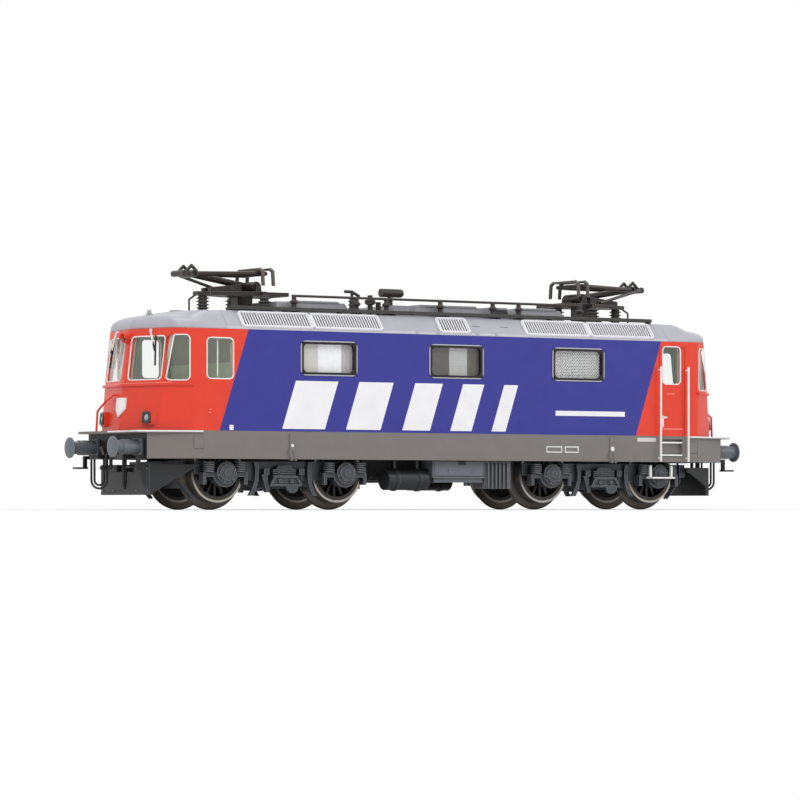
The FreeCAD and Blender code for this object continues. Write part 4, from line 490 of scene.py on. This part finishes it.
# Window outlines: every cab pane has a thin white plastic line round it, just proud of the wall.
# Each line follows the edge of its own pane, so it fits the pane's slope and corners.
def pane_outlines():
    cab_start = 0.031
    source = bmesh.new()
    source.from_mesh(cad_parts["glazing"].data)
    bmesh.ops.remove_doubles(source, verts=source.verts, dist=1e-6)
    source.faces.ensure_lookup_table()
    seen, islands = set(), []
    for first in source.faces:
        if first in seen:
            continue
        island, todo = [], [first]
        seen.add(first)
        while todo:
            face = todo.pop()
            island.append(face)
            for edge in face.edges:
                for other in edge.link_faces:
                    if other not in seen:
                        seen.add(other)
                        todo.append(other)
        islands.append(island)
    points, faces = [], []
    for island in islands:
        centre = sum((f.calc_center_median() for f in island), Vector()) / len(island)
        if abs(centre.x) < cab_start:
            continue
        areas = {}
        for face in island:
            key = tuple(round(value, 2) for value in face.normal)
            areas[key] = areas.get(key, 0.0) + face.calc_area()
        wide = sorted(areas, key=areas.get)[-2:]
        outward = max((Vector(key) for key in wide), key=lambda n: n.x * centre.x + n.y * centre.y)
        front = [f for f in island if f.normal.dot(outward.normalized()) > 0.99]
        rim = [e for f in front for e in f.edges if sum(g in front for g in e.link_faces) == 1]
        links = {}
        for edge in rim:
            for here, there in (edge.verts, reversed(edge.verts)):
                links.setdefault(here, []).append(there)
        if not links or any(len(found) != 2 for found in links.values()):
            continue
        start = next(iter(links))
        loop, before, here = [start], None, start
        while True:
            after = links[here][0] if links[here][0] is not before else links[here][1]
            if after is start:
                break
            loop.append(after)
            before, here = here, after
        normal = front[0].normal
        middle = sum((v.co for v in loop), Vector()) / len(loop)
        base = len(points)
        count = len(loop)
        for index, vert in enumerate(loop):
            ahead = (loop[(index + 1) % count].co - loop[index - 1].co).normalized()
            away = ahead.cross(normal).normalized()
            if away.dot(vert.co - middle) < 0:
                away = -away
            for out, rise in ((-0.02, 0.10), (0.0, 0.19), (0.13, 0.19), (0.15, 0.10)):
                points.append(vert.co * 1000 + away * out + normal * rise)
        for index in range(count):
            here, there = base + 4 * index, base + 4 * ((index + 1) % count)
            for k in range(3):
                faces.append((here + k, there + k, there + k + 1, here + k + 1))
    source.free()
    return mesh_piece("window_outlines", (points, faces), moulded("outline_white", "#F2F2F0", 0.4, 0.02, 0.0))


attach(pane_outlines(), "locomotive")


# Cab roofs: a smooth plastic shell that follows the cab front below, rounds down to it at the
# nose, and rises in a soft saddle to the main roof. One is made, and its half-turned copy is the
# other.
def joined(shapes):
    """Several shapes as one."""
    points, faces = [], []
    for some, theirs in shapes:
        base = len(points)
        points += [tuple(point) for point in some]
        faces += [tuple(base + corner for corner in face) for face in theirs]
    return points, faces


def half_turned(shape):
    return [(-x, -y, z) for x, y, z in shape[0]], shape[1]


def both_ends(*shapes):
    """The shapes and their copies turned half round to the other end and side."""
    one = joined(shapes)
    return joined([one, half_turned(one)])


def smooth(piece, angle=35):
    piece.data.shade_smooth()
    piece.data.set_sharp_from_angle(angle=math.radians(angle))
    return piece


def between(low, high, share):
    return low + (high - low) * share


def cab_roof_form():
    back, side_end, nose_x, nose_y, tip = 33.9, 38.9, 40.75, 8.1, 42.35
    half, lip, eave = 9.28, 22.3, 22.48
    crown, deck, deck_half, foot = 24.1, 24.8, 7.5, 22.42
    rim = [(between(back, side_end, k / 20), half) for k in range(20)]
    rim += [(between(side_end, nose_x, k / 5), between(half, nose_y, k / 5)) for k in range(5)]
    rim += [(between(nose_x, tip, k / 12), between(nose_y, 0, k / 12)) for k in range(13)]
    rim = [(x, -y) for x, y in rim] + [(x, y) for x, y in reversed(rim[:-1])]
    ridge_end, ramp_start, ramp_length, camber = 40.3, 35.9, 3.2, 0.15
    side_power, nose_power, change_length = 2.75, 2.6, 2.5
    steps = 18
    points = []
    for x, y in rim:
        ridge = min(x, ridge_end)
        ramp = min(1.0, max(0.0, (ridge - ramp_start) / ramp_length))
        ramp = ramp * ramp * (3 - 2 * ramp)
        power = between(side_power, nose_power, min(1.0, max(0.0, (x - side_end) / change_length)))
        for step in range(steps + 1):
            out = math.sin(math.radians(90) * step / steps)
            domed = eave + (crown - eave) * max(0.0, 1 - out ** power) ** (1 / power)
            wide = out * half
            boxed = deck - camber * wide / deck_half
            if wide > deck_half:
                boxed = between(deck - camber, foot, (wide - deck_half) / (half - deck_half))
            points.append((between(ridge, x, out), y * out, between(boxed, domed, ramp)))
        points.append((x, y, lip))
    rows = steps + 2
    faces = [(k * rows + r, (k + 1) * rows + r, (k + 1) * rows + r + 1, k * rows + r + 1)
             for k in range(len(rim) - 1) for r in range(rows - 1)]
    return points, faces


def walled(piece, thickness):
    """Gives a sheet a wall on its inner side."""
    wall = piece.modifiers.new("wall", "SOLIDIFY")
    wall.thickness = thickness
    wall.offset = -1.0
    return piece


def close_up(piece, thickness):
    """Merges doubled points, faces the sheet outward and gives it a wall."""
    work = bmesh.new()
    work.from_mesh(piece.data)
    bmesh.ops.remove_doubles(work, verts=work.verts, dist=1e-6)
    bmesh.ops.recalc_face_normals(work, faces=work.faces)
    top = max(work.faces, key=lambda face: face.calc_center_median().z)
    if top.normal.z < 0:
        bmesh.ops.reverse_faces(work, faces=work.faces)
    work.to_mesh(piece.data)
    work.free()
    return walled(piece, thickness)


roof_paint = moulded("roof_paint", "#B2B2BA", 0.36, 0.02, 0.0)
for name, shape in (("right", cab_roof_form()), ("left", half_turned(cab_roof_form()))):
    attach(smooth(close_up(mesh_piece("cab_roof_" + name, shape, roof_paint),
                                                  0.0004), 50), "locomotive")
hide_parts("cab_roofs")
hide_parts("cab_roofs")


# Geometry Nodes groups for small things in numbers. Each puts one part on every point of a seed
# mesh, or the slats at even steps between its points, faced along the aim. Sizes are in metres.
def grower(name, sizes, part):
    group = modifier_group(name, dict(sizes, Material="Material"))
    start = add_node(group, "NodeGroupInput")
    points, shape = part(group, start.outputs)
    aim = add_node(group, "GeometryNodeInputNamedAttribute", {"Name": "aim"}, data_type="FLOAT_VECTOR")
    faced = add_node(group, "FunctionNodeAlignRotationToVector", {"Vector": aim.outputs[0]}, axis="Z")
    many = add_node(group, "GeometryNodeInstanceOnPoints",
                    {"Points": points, "Instance": shape, "Rotation": faced.outputs[0]})
    real = add_node(group, "GeometryNodeRealizeInstances", {0: many.outputs[0]})
    done = add_node(group, "GeometryNodeSetMaterial",
                    {"Geometry": real.outputs[0], "Material": start.outputs["Material"]})
    add_node(group, "NodeGroupOutput", {0: done.outputs[0]})
    return group


def grow(name, group, seeds, sizes, material, edges=()):
    """A finished mesh grown by a group from seeds, each a point in millimetres and its aim."""
    mesh = bpy.data.meshes.new(name)
    mesh.from_pydata([Vector(point) * 0.001 for point, aim in seeds], edges, [])
    aims = mesh.attributes.new("aim", "FLOAT_VECTOR", "POINT")
    aims.data.foreach_set("vector", [part for point, aim in seeds for part in aim])
    piece = bpy.data.objects.new(name, mesh)
    bpy.context.scene.collection.objects.link(piece)
    change = piece.modifiers.new(name, "NODES")
    change.node_group = group
    sizes = dict(sizes, Material=material)
    for item in group.interface.items_tree:
        if item.in_out == "INPUT" and item.name in sizes:
            change[item.identifier] = sizes[item.name]
    depsgraph = bpy.context.evaluated_depsgraph_get()
    piece.data = bpy.data.meshes.new_from_object(piece.evaluated_get(depsgraph), depsgraph=depsgraph)
    piece.modifiers.clear()
    return piece


def cross_vector(tree, *values):
    return add_node(tree, "ShaderNodeCombineXYZ", dict(enumerate(values))).outputs[0]


def slats(tree, size):
    line = add_node(tree, "GeometryNodeMeshToCurve", {0: size["Geometry"]})
    spaced = add_node(tree, "GeometryNodeResampleCurve", {"Curve": line.outputs[0], "Length": size["Pitch"]},
                      mode="LENGTH")
    bar = add_node(tree, "GeometryNodeMeshCube",
                   {"Size": cross_vector(tree, size["Width"], size["Height"], size["Depth"])})
    return spaced.outputs[0], bar.outputs[0]


def bolts(tree, size):
    top = maths(tree, "MULTIPLY", size["Radius"], 0.86)
    head = add_node(tree, "GeometryNodeMeshCone",
                    {"Vertices": size["Sides"], "Radius Top": top, "Radius Bottom": size["Radius"],
                     "Depth": size["Height"]})
    return size["Geometry"], head.outputs[0]


def coils(tree, size):
    line = add_node(tree, "GeometryNodeCurveSpiral",
                    {"Resolution": 20, "Rotations": size["Turns"], "Start Radius": size["Radius"],
                     "End Radius": size["Radius"], "Height": size["Height"]})
    section = add_node(tree, "GeometryNodeCurvePrimitiveCircle", {"Resolution": 8, "Radius": size["Wire"]})
    wound = add_node(tree, "GeometryNodeCurveToMesh",
                     {0: line.outputs[0], 1: section.outputs[0], "Fill Caps": True})
    core = add_node(tree, "GeometryNodeMeshCylinder",
                    {"Vertices": 20, "Radius": maths(tree, "MULTIPLY", size["Radius"], 0.72),
                     "Depth": size["Height"]})
    lift = cross_vector(tree, 0.0, 0.0, maths(tree, "MULTIPLY", size["Height"], 0.5))
    core = add_node(tree, "GeometryNodeTransform", {0: core.outputs[0], "Translation": lift})
    both = add_node(tree, "GeometryNodeJoinGeometry", {0: [core.outputs[0], wound.outputs[0]]})
    return size["Geometry"], both.outputs[0]


def net(tree, size):
    """An expanded metal net: crosses of two thin wires on a grid, all in one flat sheet."""
    cells = [maths(tree, "ROUND", maths(tree, "DIVIDE", size[side], size["Pitch"]))
             for side in ("Width", "Height")]
    grid = add_node(tree, "GeometryNodeMeshGrid", {"Size X": size["Width"], "Size Y": size["Height"],
                                                   "Vertices X": cells[0], "Vertices Y": cells[1]})
    wires = []
    for turn in (math.radians(50), math.radians(-50)):
        wire = add_node(tree, "GeometryNodeMeshCube", {"Size": cross_vector(
            tree, maths(tree, "MULTIPLY", size["Pitch"], 1.5), size["Wire"], size["Wire"])})
        turned = add_node(tree, "GeometryNodeTransform", {0: wire.outputs[0], "Rotation": (0, 0, turn)})
        wires.append(turned.outputs[0])
    cross = add_node(tree, "GeometryNodeJoinGeometry", {0: wires})
    sheet = add_node(tree, "GeometryNodeInstanceOnPoints",
                     {"Points": grid.outputs[0], "Instance": cross.outputs[0]})
    return size["Geometry"], sheet.outputs[0]


slat_rows = grower("slat_rows", dict(Pitch="Float", Width="Float", Height="Float", Depth="Float"), slats)
bolt_rows = grower("bolt_rows", dict(Radius="Float", Height="Float", Sides="Int"), bolts)
coil_rows = grower("coil_rows", dict(Turns="Float", Radius="Float", Wire="Float", Height="Float"), coils)
net_sheets = grower("net_sheets", dict(Width="Float", Height="Float", Pitch="Float", Wire="Float"), net)


# Roof grilles: a white plastic frame with round corners, fine upright slats and a dark space
# behind them, laid on both roof slopes in place of the coarser packed ones.
def rounded(width, height, corner, steps=4):
    """The points of a rectangle with round corners, in a plane."""
    points = []
    for cx, cy, turn in ((1, -1, -90), (1, 1, 0), (-1, 1, 90), (-1, -1, 180)):
        for k in range(steps + 1):
            angle = math.radians(turn + 90 * k / steps)
            points.append((cx * (width / 2 - corner) + corner * math.cos(angle),
                           cy * (height / 2 - corner) + corner * math.sin(angle)))
    return points


def loops(rows, closed=False):
    """A skin over rings of points; the ends are filled unless the skin closes on itself."""
    count = len(rows[0])
    points = [point for row in rows for point in row]
    faces = []
    for row in range(len(rows) if closed else len(rows) - 1):
        here, there = row * count, (row + 1) % len(rows) * count
        faces += [(here + k, here + (k + 1) % count, there + (k + 1) % count, there + k)
                  for k in range(count)]
    if not closed:
        faces += [tuple(reversed(range(count))), tuple(range((len(rows) - 1) * count, len(rows) * count))]
    return points, faces


def flat_ring(width, height, corner, rim, thick, ease):
    """A flat frame with eased outer and inner edges, standing up from its plane."""
    rows = []
    for inset, rise in ((0, 0), (0, thick - ease), (ease, thick),
                        (rim - ease, thick), (rim, thick - ease), (rim, 0)):
        round_off = max(corner - inset, corner / 4)
        rows.append([(x, y, rise) for x, y in rounded(width - 2 * inset, height - 2 * inset, round_off)])
    return loops(rows, closed=True)


def plate(width, height, corner, thick, ease):
    rows = [[(x, y, rise) for x, y in rounded(width - 2 * inset, height - 2 * inset, corner - inset)]
            for inset, rise in ((0, 0), (0, thick - ease), (ease, thick))]
    return loops(rows)


def laid(shape, origin, across, up):
    """A flat shape laid in a plane of its own."""
    origin, across, up = Vector(origin), Vector(across), Vector(up)
    out = across.cross(up)
    return [origin + across * x + up * y + out * z for x, y, z in shape[0]], shape[1]


slope_up, slope_out = Vector((0, 0.6239, 0.7816)), Vector((0, -0.7816, 0.6239))
slope_middle, slope_height = Vector((0, -8.39, 23.535)), 2.853
grille_spans = ((-31.8, -21.35), (-21.35, -11.0), (-2.4, 2.4), (11.0, 21.35), (21.35, 31.8))
frames, backs, seeds = [], [], []
rim, grille_height = 0.3, slope_height - 0.3
for x0, x1 in grille_spans:
    middle = slope_middle + Vector(((x0 + x1) / 2, 0, 0))
    for some, shape in ((frames, flat_ring(x1 - x0, grille_height, 0.45, rim, 0.25, 0.05)),
                        (backs, plate(x1 - x0 - rim, grille_height - rim, 0.2, 0.04, 0.01))):
        some.append(laid(shape, middle, (1, 0, 0), slope_up))
    for x in (x0 + rim + 0.12, x1 - rim - 0.12):
        seeds.append((middle + Vector((x - middle.x, 0, 0)) + slope_out * 0.1, slope_out))
seeds += [((-point.x, -point.y, point.z), (-aim.x, -aim.y, aim.z)) for point, aim in seeds]
grille_white = moulded("grille_white", "#E6E6EA", 0.42, 0.03, 0.0)
grille_frames = smooth(mesh_piece("grille_frames", both_ends(*frames), grille_white))
grille_shade = moulded("grille_shade", "#4C4B50", 0.7, 0.05, 0.0)
grille_backs = mesh_piece("grille_backs", both_ends(*backs), grille_shade)
grille_slats = grow("grille_slats", slat_rows, seeds,
                    dict(Pitch=0.00037, Width=0.00017, Height=0.00198, Depth=0.00012), grille_white,
                    [(k, k + 1) for k in range(0, len(seeds), 2)])
for piece in (grille_frames, grille_backs, grille_slats):
    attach(piece, "locomotive")
    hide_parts("roof_grilles")


# Springs of the axle boxes: grey wound wire round a plain core, one before and one behind every
# axle box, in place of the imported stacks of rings.
axles, spring_reach, spring_side, spring_foot = (15.94, 33.44), 2.25, 7.58, 4.68
spring_paint = moulded("spring_paint", "#5E6168", 0.4, 0.05, 0.25, 0.2)
for end, direction in (("left", -1), ("right", 1)):
    seeds = [((direction * axle + step, side * spring_side, spring_foot), (0, 0, 1))
             for axle in axles for step in (-spring_reach, spring_reach) for side in (-1, 1)]
    springs = smooth(grow("wound_springs_" + end, coil_rows, seeds,
                          dict(Turns=4.5, Radius=0.00069, Wire=0.00009, Height=0.00124), spring_paint))
    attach(springs, "bogie_" + end)
    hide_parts("bogie_springs_" + end)


# Machine room windows: plain and ribbed moulded blinds behind the first, dark sheets and a strip
# of net behind the second, a pale strip and a full net behind the third. The other side is the
# same after half a turn.
def pleats(x0, x1, depth, count, y=-8.68, z0=17.0, z1=20.85):
    """An upright sheet with folds, facing the near side."""
    points = [(between(x0, x1, k / (2 * count)), y + depth * (k % 2), z)
              for z in (z0, z1) for k in range(2 * count + 1)]
    row = 2 * count + 1
    return points, [(k, k + 1, row + k + 1, row + k) for k in range(2 * count)]


for name, code, sheets in (
        ("blinds_beige", "#D9D4CF", [pleats(-23.2, -20.5, 0.02, 2)]),
        ("blinds_white", "#FBFBFF", [pleats(-20.55, -17.0, 0.08, 5)]),
        ("blinds_mauve", "#BEB6B8", [pleats(-17.05, -15.28, 0.05, 3)]),
        ("blinds_dark", "#554F4B", [pleats(-3.96, -0.6, 0.02, 2), pleats(1.9, 3.96, 0.05, 3)]),
        ("net_backs", "#8F8F94", [pleats(-0.65, 1.95, 0.0, 1, -8.62), pleats(15.28, 23.2, 0.0, 1, -8.62)]),
        ("blinds_pale", "#F4F4F8", [pleats(15.28, 16.1, 0.03, 2)])):
    piece = walled(mesh_piece(name, both_ends(*sheets), moulded(name, code, 0.7, 0.06, 0.0)), 0.00004)
    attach(piece, "locomotive")

net_white = moulded("net_white", "#FFFFFF", 0.4, 0.03, 0.0)
for name, x, width in (("window_net_middle", 0.65, 2.4), ("window_net_side", 19.66, 7.0)):
    seeds = [((x, -8.72, window_middle), (0, -1, 0)), ((-x, 8.72, window_middle), (0, 1, 0))]
    piece = grow(name, net_sheets, seeds,
                 dict(Width=width * 0.001, Height=0.0036, Pitch=0.00036, Wire=0.00009), net_white)
    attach(piece, "locomotive")


# Spoke backing: a dark dished disc behind the spokes, standing in for the dark gears behind the
# wheel and, as painted shade, for the shade there. It is turned from a profile and rides with its wheelset.
def circle(centre, axis, radius, count, shift=0.0):
    """Points evenly round an axis, the first shifted by a share of their distance."""
    side = axis.orthogonal().normalized()
    other = axis.cross(side)
    turns = [math.tau * (k + shift) / count for k in range(count)]
    return [centre + (side * math.cos(turn) + other * math.sin(turn)) * radius for turn in turns]


def lathe(profile, centre, axis, steps=36):
    """A turned form from (radius, height) pairs along an axis."""
    centre, axis = Vector(centre), Vector(axis).normalized()
    return loops([circle(centre + axis * height, axis, radius, steps) for radius, height in profile])


# Painted shade: the disc's dark colour stands in for the gears and the shade seen through the spokes.
spoke_backing_shade = moulded("spoke_backing_shade", "#2A2523", 0.55, 0.06, 0.0)
for number in range(1, 5):
    low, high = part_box("wheels_" + str(number))
    x = (low.x + high.x) * 500
    backing_discs = [lathe(((3.05, 4.0), (3.05, 4.3), (2.2, 4.2), (1.2, 4.35)), (x, 0, axle_height), (0, side, 0))
            for side in (-1, 1)]
    piece = smooth(mesh_piece("spoke_shade_discs_" + str(number), joined(backing_discs), spoke_backing_shade))
    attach(piece, "wheelset_" + str(number))


# Lamps: glossy domed plastic lenses in the four square headlamps, and a dark red one under the
# roof at each end. Each is turned from a profile and faces square out from the cab front.
def on_front(y, z, out):
    """A point on the right cab's front, moved out from it, and the way the front leans there."""
    middle, belt, lower_rake = 43.6, 15.59, 0.1113
    rake = front_rake if z > belt else lower_rake
    lean = Vector((1, front_slope * (1 if y > 0 else -1 if y < 0 else 0), rake)).normalized()
    return Vector((middle - front_slope * abs(y) - rake * (z - belt), y, z)) + lean * out, lean


def lens(y, z, radius, out):
    place, lean = on_front(y, z, out)
    angles = [math.radians(15 * k) for k in range(6)]
    dome = [(radius * math.cos(angle), 0.05 + radius * 0.35 * math.sin(angle)) for angle in angles]
    return lathe([(radius, 0.0)] + dome, place, lean, 28)


for name, code, shapes in (
        ("headlamp_lenses", "#AEB3B8", [lens(5.5, 11.3, 0.44, 0.42), lens(-5.5, 11.3, 0.44, 0.42)]),
        ("top_lamp_lenses", "#5E1A14", [lens(0, 21.1, 0.41, 0.36)])):
    piece = smooth(mesh_piece(name, both_ends(*shapes), moulded(name, code, 0.12, 0.05, 0.0, 0.15)))
    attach(piece, "locomotive")


# Bolts: six round each axle box cover, four on either side of each snow plough's plate and four
# on each buffer's flange. Each is a small grey metal head that stands on the face it holds.
bolt_paint = moulded("bolt_paint", "#7A7F87", 0.34, 0.05, 0.3, 0.3)
for end, direction in (("left", -1), ("right", 1)):
    seeds = []
    for axle in axles:
        for side in (-1, 1):
            cover, aim = Vector((direction * axle, side * 8.2, axle_height)), Vector((0, side, 0))
            seeds += [(point, aim) for point in circle(cover, aim, 1.19, 6, 0.5)]
    seeds += [((direction * 43.2, side * y, z), (direction, 0, 0))
              for side in (-1, 1) for y in (2.9, 5.6) for z in (2.4, 5.1)]
    piece = grow("bogie_bolts_" + end, bolt_rows, seeds, dict(Radius=0.0001, Height=0.0001, Sides=6),
                 bolt_paint)
    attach(piece, "bogie_" + end)

flange_face, buffer_side, buffer_height, bolt_reach = 44.6, 5.47, 7.72, (-0.82, 0.82)
seeds = [((direction * flange_face, side * buffer_side + y, buffer_height + z), (direction, 0, 0))
         for direction in (-1, 1) for side in (-1, 1) for y in bolt_reach for z in bolt_reach]
piece = grow("buffer_bolts", bolt_rows, seeds, dict(Radius=0.00014, Height=0.00012, Sides=6), bolt_paint)
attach(piece, "locomotive")


# Roof covers, moulded in grey plastic: a shallow eased lid with two rows of screws on each long
# hatch, a vent box with dark louvres between two of them, four small tabs at the foot of each
# roof slope, and a rounded tip on the aerial of each cab roof.
def slab(x0, x1, y0, y1, z0, z1, draw_in=0.0):
    """A block, its top drawn in by a given amount."""
    return loops([[(x0 + inset, y0 + inset, z), (x1 - inset, y0 + inset, z), (x1 - inset, y1 - inset, z),
                   (x0 + inset, y1 - inset, z)] for z, inset in ((z0, 0.0), (z1, draw_in))])


def eased(name, shape, material, width=0.05):
    """A piece with small rounded edges."""
    piece = mesh_piece(name, shape, material)
    edge = piece.modifiers.new("eased", "BEVEL")
    edge.width = width * 0.001
    edge.segments = 2
    edge.limit_method = "ANGLE"
    return piece


hatch_paint = moulded("hatch_paint", "#949497", 0.48, 0.05, 0.16, recess_shade=0.3)
lid_spans, lid_half, lid_top = ((-21.0, -14.7), (-2.5, 6.4), (13.2, 19.0)), 4.7, 26.36
lids = [slab(x0, x1, -lid_half, lid_half, 26.1, lid_top, 0.16) for x0, x1 in lid_spans]
lids.append(slab(8.05, 11.55, -4.75, 4.75, 24.95, 26.3, 0.3))
piece = eased("roof_lids", joined(lids), hatch_paint)
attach(piece, "locomotive")

seeds = []
screw_pitch, screw_inset, screw_side = 1.1, 0.45, 4.3
for x0, x1 in lid_spans:
    count = int((x1 - x0) / screw_pitch)
    seeds += [((between(x0 + screw_inset, x1 - screw_inset, k / count), y, lid_top), (0, 0, 1))
              for k in range(count + 1) for y in (-screw_side, screw_side)]
piece = grow("lid_screws", bolt_rows, seeds, dict(Radius=0.0001, Height=0.00003, Sides=10), bolt_paint)
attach(piece, "locomotive")

louvre_parts = [(flat_ring(2.1, 0.62, 0.1, 0.09, 0.12, 0.03), 0.0)]
louvre_parts += [(plate(1.95, 0.07, 0.03, 0.09, 0.01), step) for step in (-0.15, 0.0, 0.15)]
louvre = [laid(part, (10.1, -4.62, 25.68 + step), (1, 0, 0), (0, 0.2, 0.98)) for part, step in louvre_parts]
louvre = joined(louvre + [([(x, -y, z) for x, y, z in points], [tuple(reversed(face)) for face in faces])
                          for points, faces in louvre])
piece = mesh_piece("roof_louvre", louvre, moulded("louvre_dark", "#45464A", 0.5, 0.05, 0.1))
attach(piece, "locomotive")

tabs = [slab(x - 0.22, x + 0.22, -9.38, -9.1, 22.4, 22.72, 0.06) for x in (-5.93, -2.75, 3.31, 6.31)]
piece = eased("roof_tabs", both_ends(*tabs), roof_paint, 0.04)
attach(piece, "locomotive")

piece = eased("aerial_tips", both_ends(slab(39.5, 40.02, -0.22, 0.22, 24.3, 24.82, 0.05)), roof_paint, 0.06)
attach(piece, "locomotive")


# Door and window fittings, in white plastic: a handle on its plate beside each door, and a slim
# bar behind each cab side window, where one sliding pane meets the other.
fittings = [slab(32.93, 33.17, -9.4, -9.22, 10.95, 12.46), slab(33.05, 33.62, -9.56, -9.42, 12.1, 12.32),
            slab(33.05, 33.2, -9.5, -9.3, 12.14, 12.28), slab(-35.18, -35.02, -8.8, -8.7, 16.4, 20.95)]
fitting_white = moulded("fitting_white", "#F1F1EF", 0.4, 0.03, 0.0)
piece = eased("door_fittings", both_ends(*fittings), fitting_white, 0.03)
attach(piece, "locomotive")


# Under the floor, in dark and grey plastic: a plain trough between the bogies, and on each side
# the equipment box's lid with two screws, its catch and the tray under it.
low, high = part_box("ballast_block")
trough_top = low.z * 1000 + 0.05
trough = [slab(-10.3, 10.3, -3.3, 3.3, 4.05, trough_top), slab(-9.4, 9.4, -2.6, 2.6, 3.75, 4.1)]
trough += [slab(x - 0.2, x + 0.2, -3.5, 3.5, 4.2, trough_top) for x in (-9.0, -6.0, -3.0, 0.0, 3.0, 6.0, 9.0)]
piece = eased("floor_trough", joined(trough), moulded("trough_dark", "#29282A", 0.5, 0.06, 0.14, recess_shade=0.4))
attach(piece, "locomotive")

box_paint = moulded("box_paint", "#6A6E75", 0.4, 0.05, 0.25, recess_shade=0.4)
lid = laid(plate(7.5, 1.95, 0.15, 0.12, 0.04), (1.08, -8.2, 5.28), (1, 0, 0), (0, 0, 1))
tray = [slab(-2.6, 4.95, -8.05, -6.0, 3.5, 4.15), slab(-2.95, 5.1, -8.4, -8.1, 4.05, 4.2)]
piece = eased("box_lids", both_ends(lid, *tray), box_paint, 0.03)
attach(piece, "locomotive")
piece = eased("box_catches", both_ends(slab(1.0, 2.1, -8.42, -8.2, 5.72, 6.2)),
              moulded("catch_dark", "#303135", 0.5, 0.05, 0.2), 0.04)
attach(piece, "locomotive")
seeds = [((x * side, -8.31 * side, 4.9), (0, -side, 0)) for x in (-0.5, 3.2) for side in (-1, 1)]
piece = grow("box_screws", bolt_rows, seeds, dict(Radius=0.00013, Height=0.0001, Sides=6), bolt_paint)
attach(piece, "locomotive")
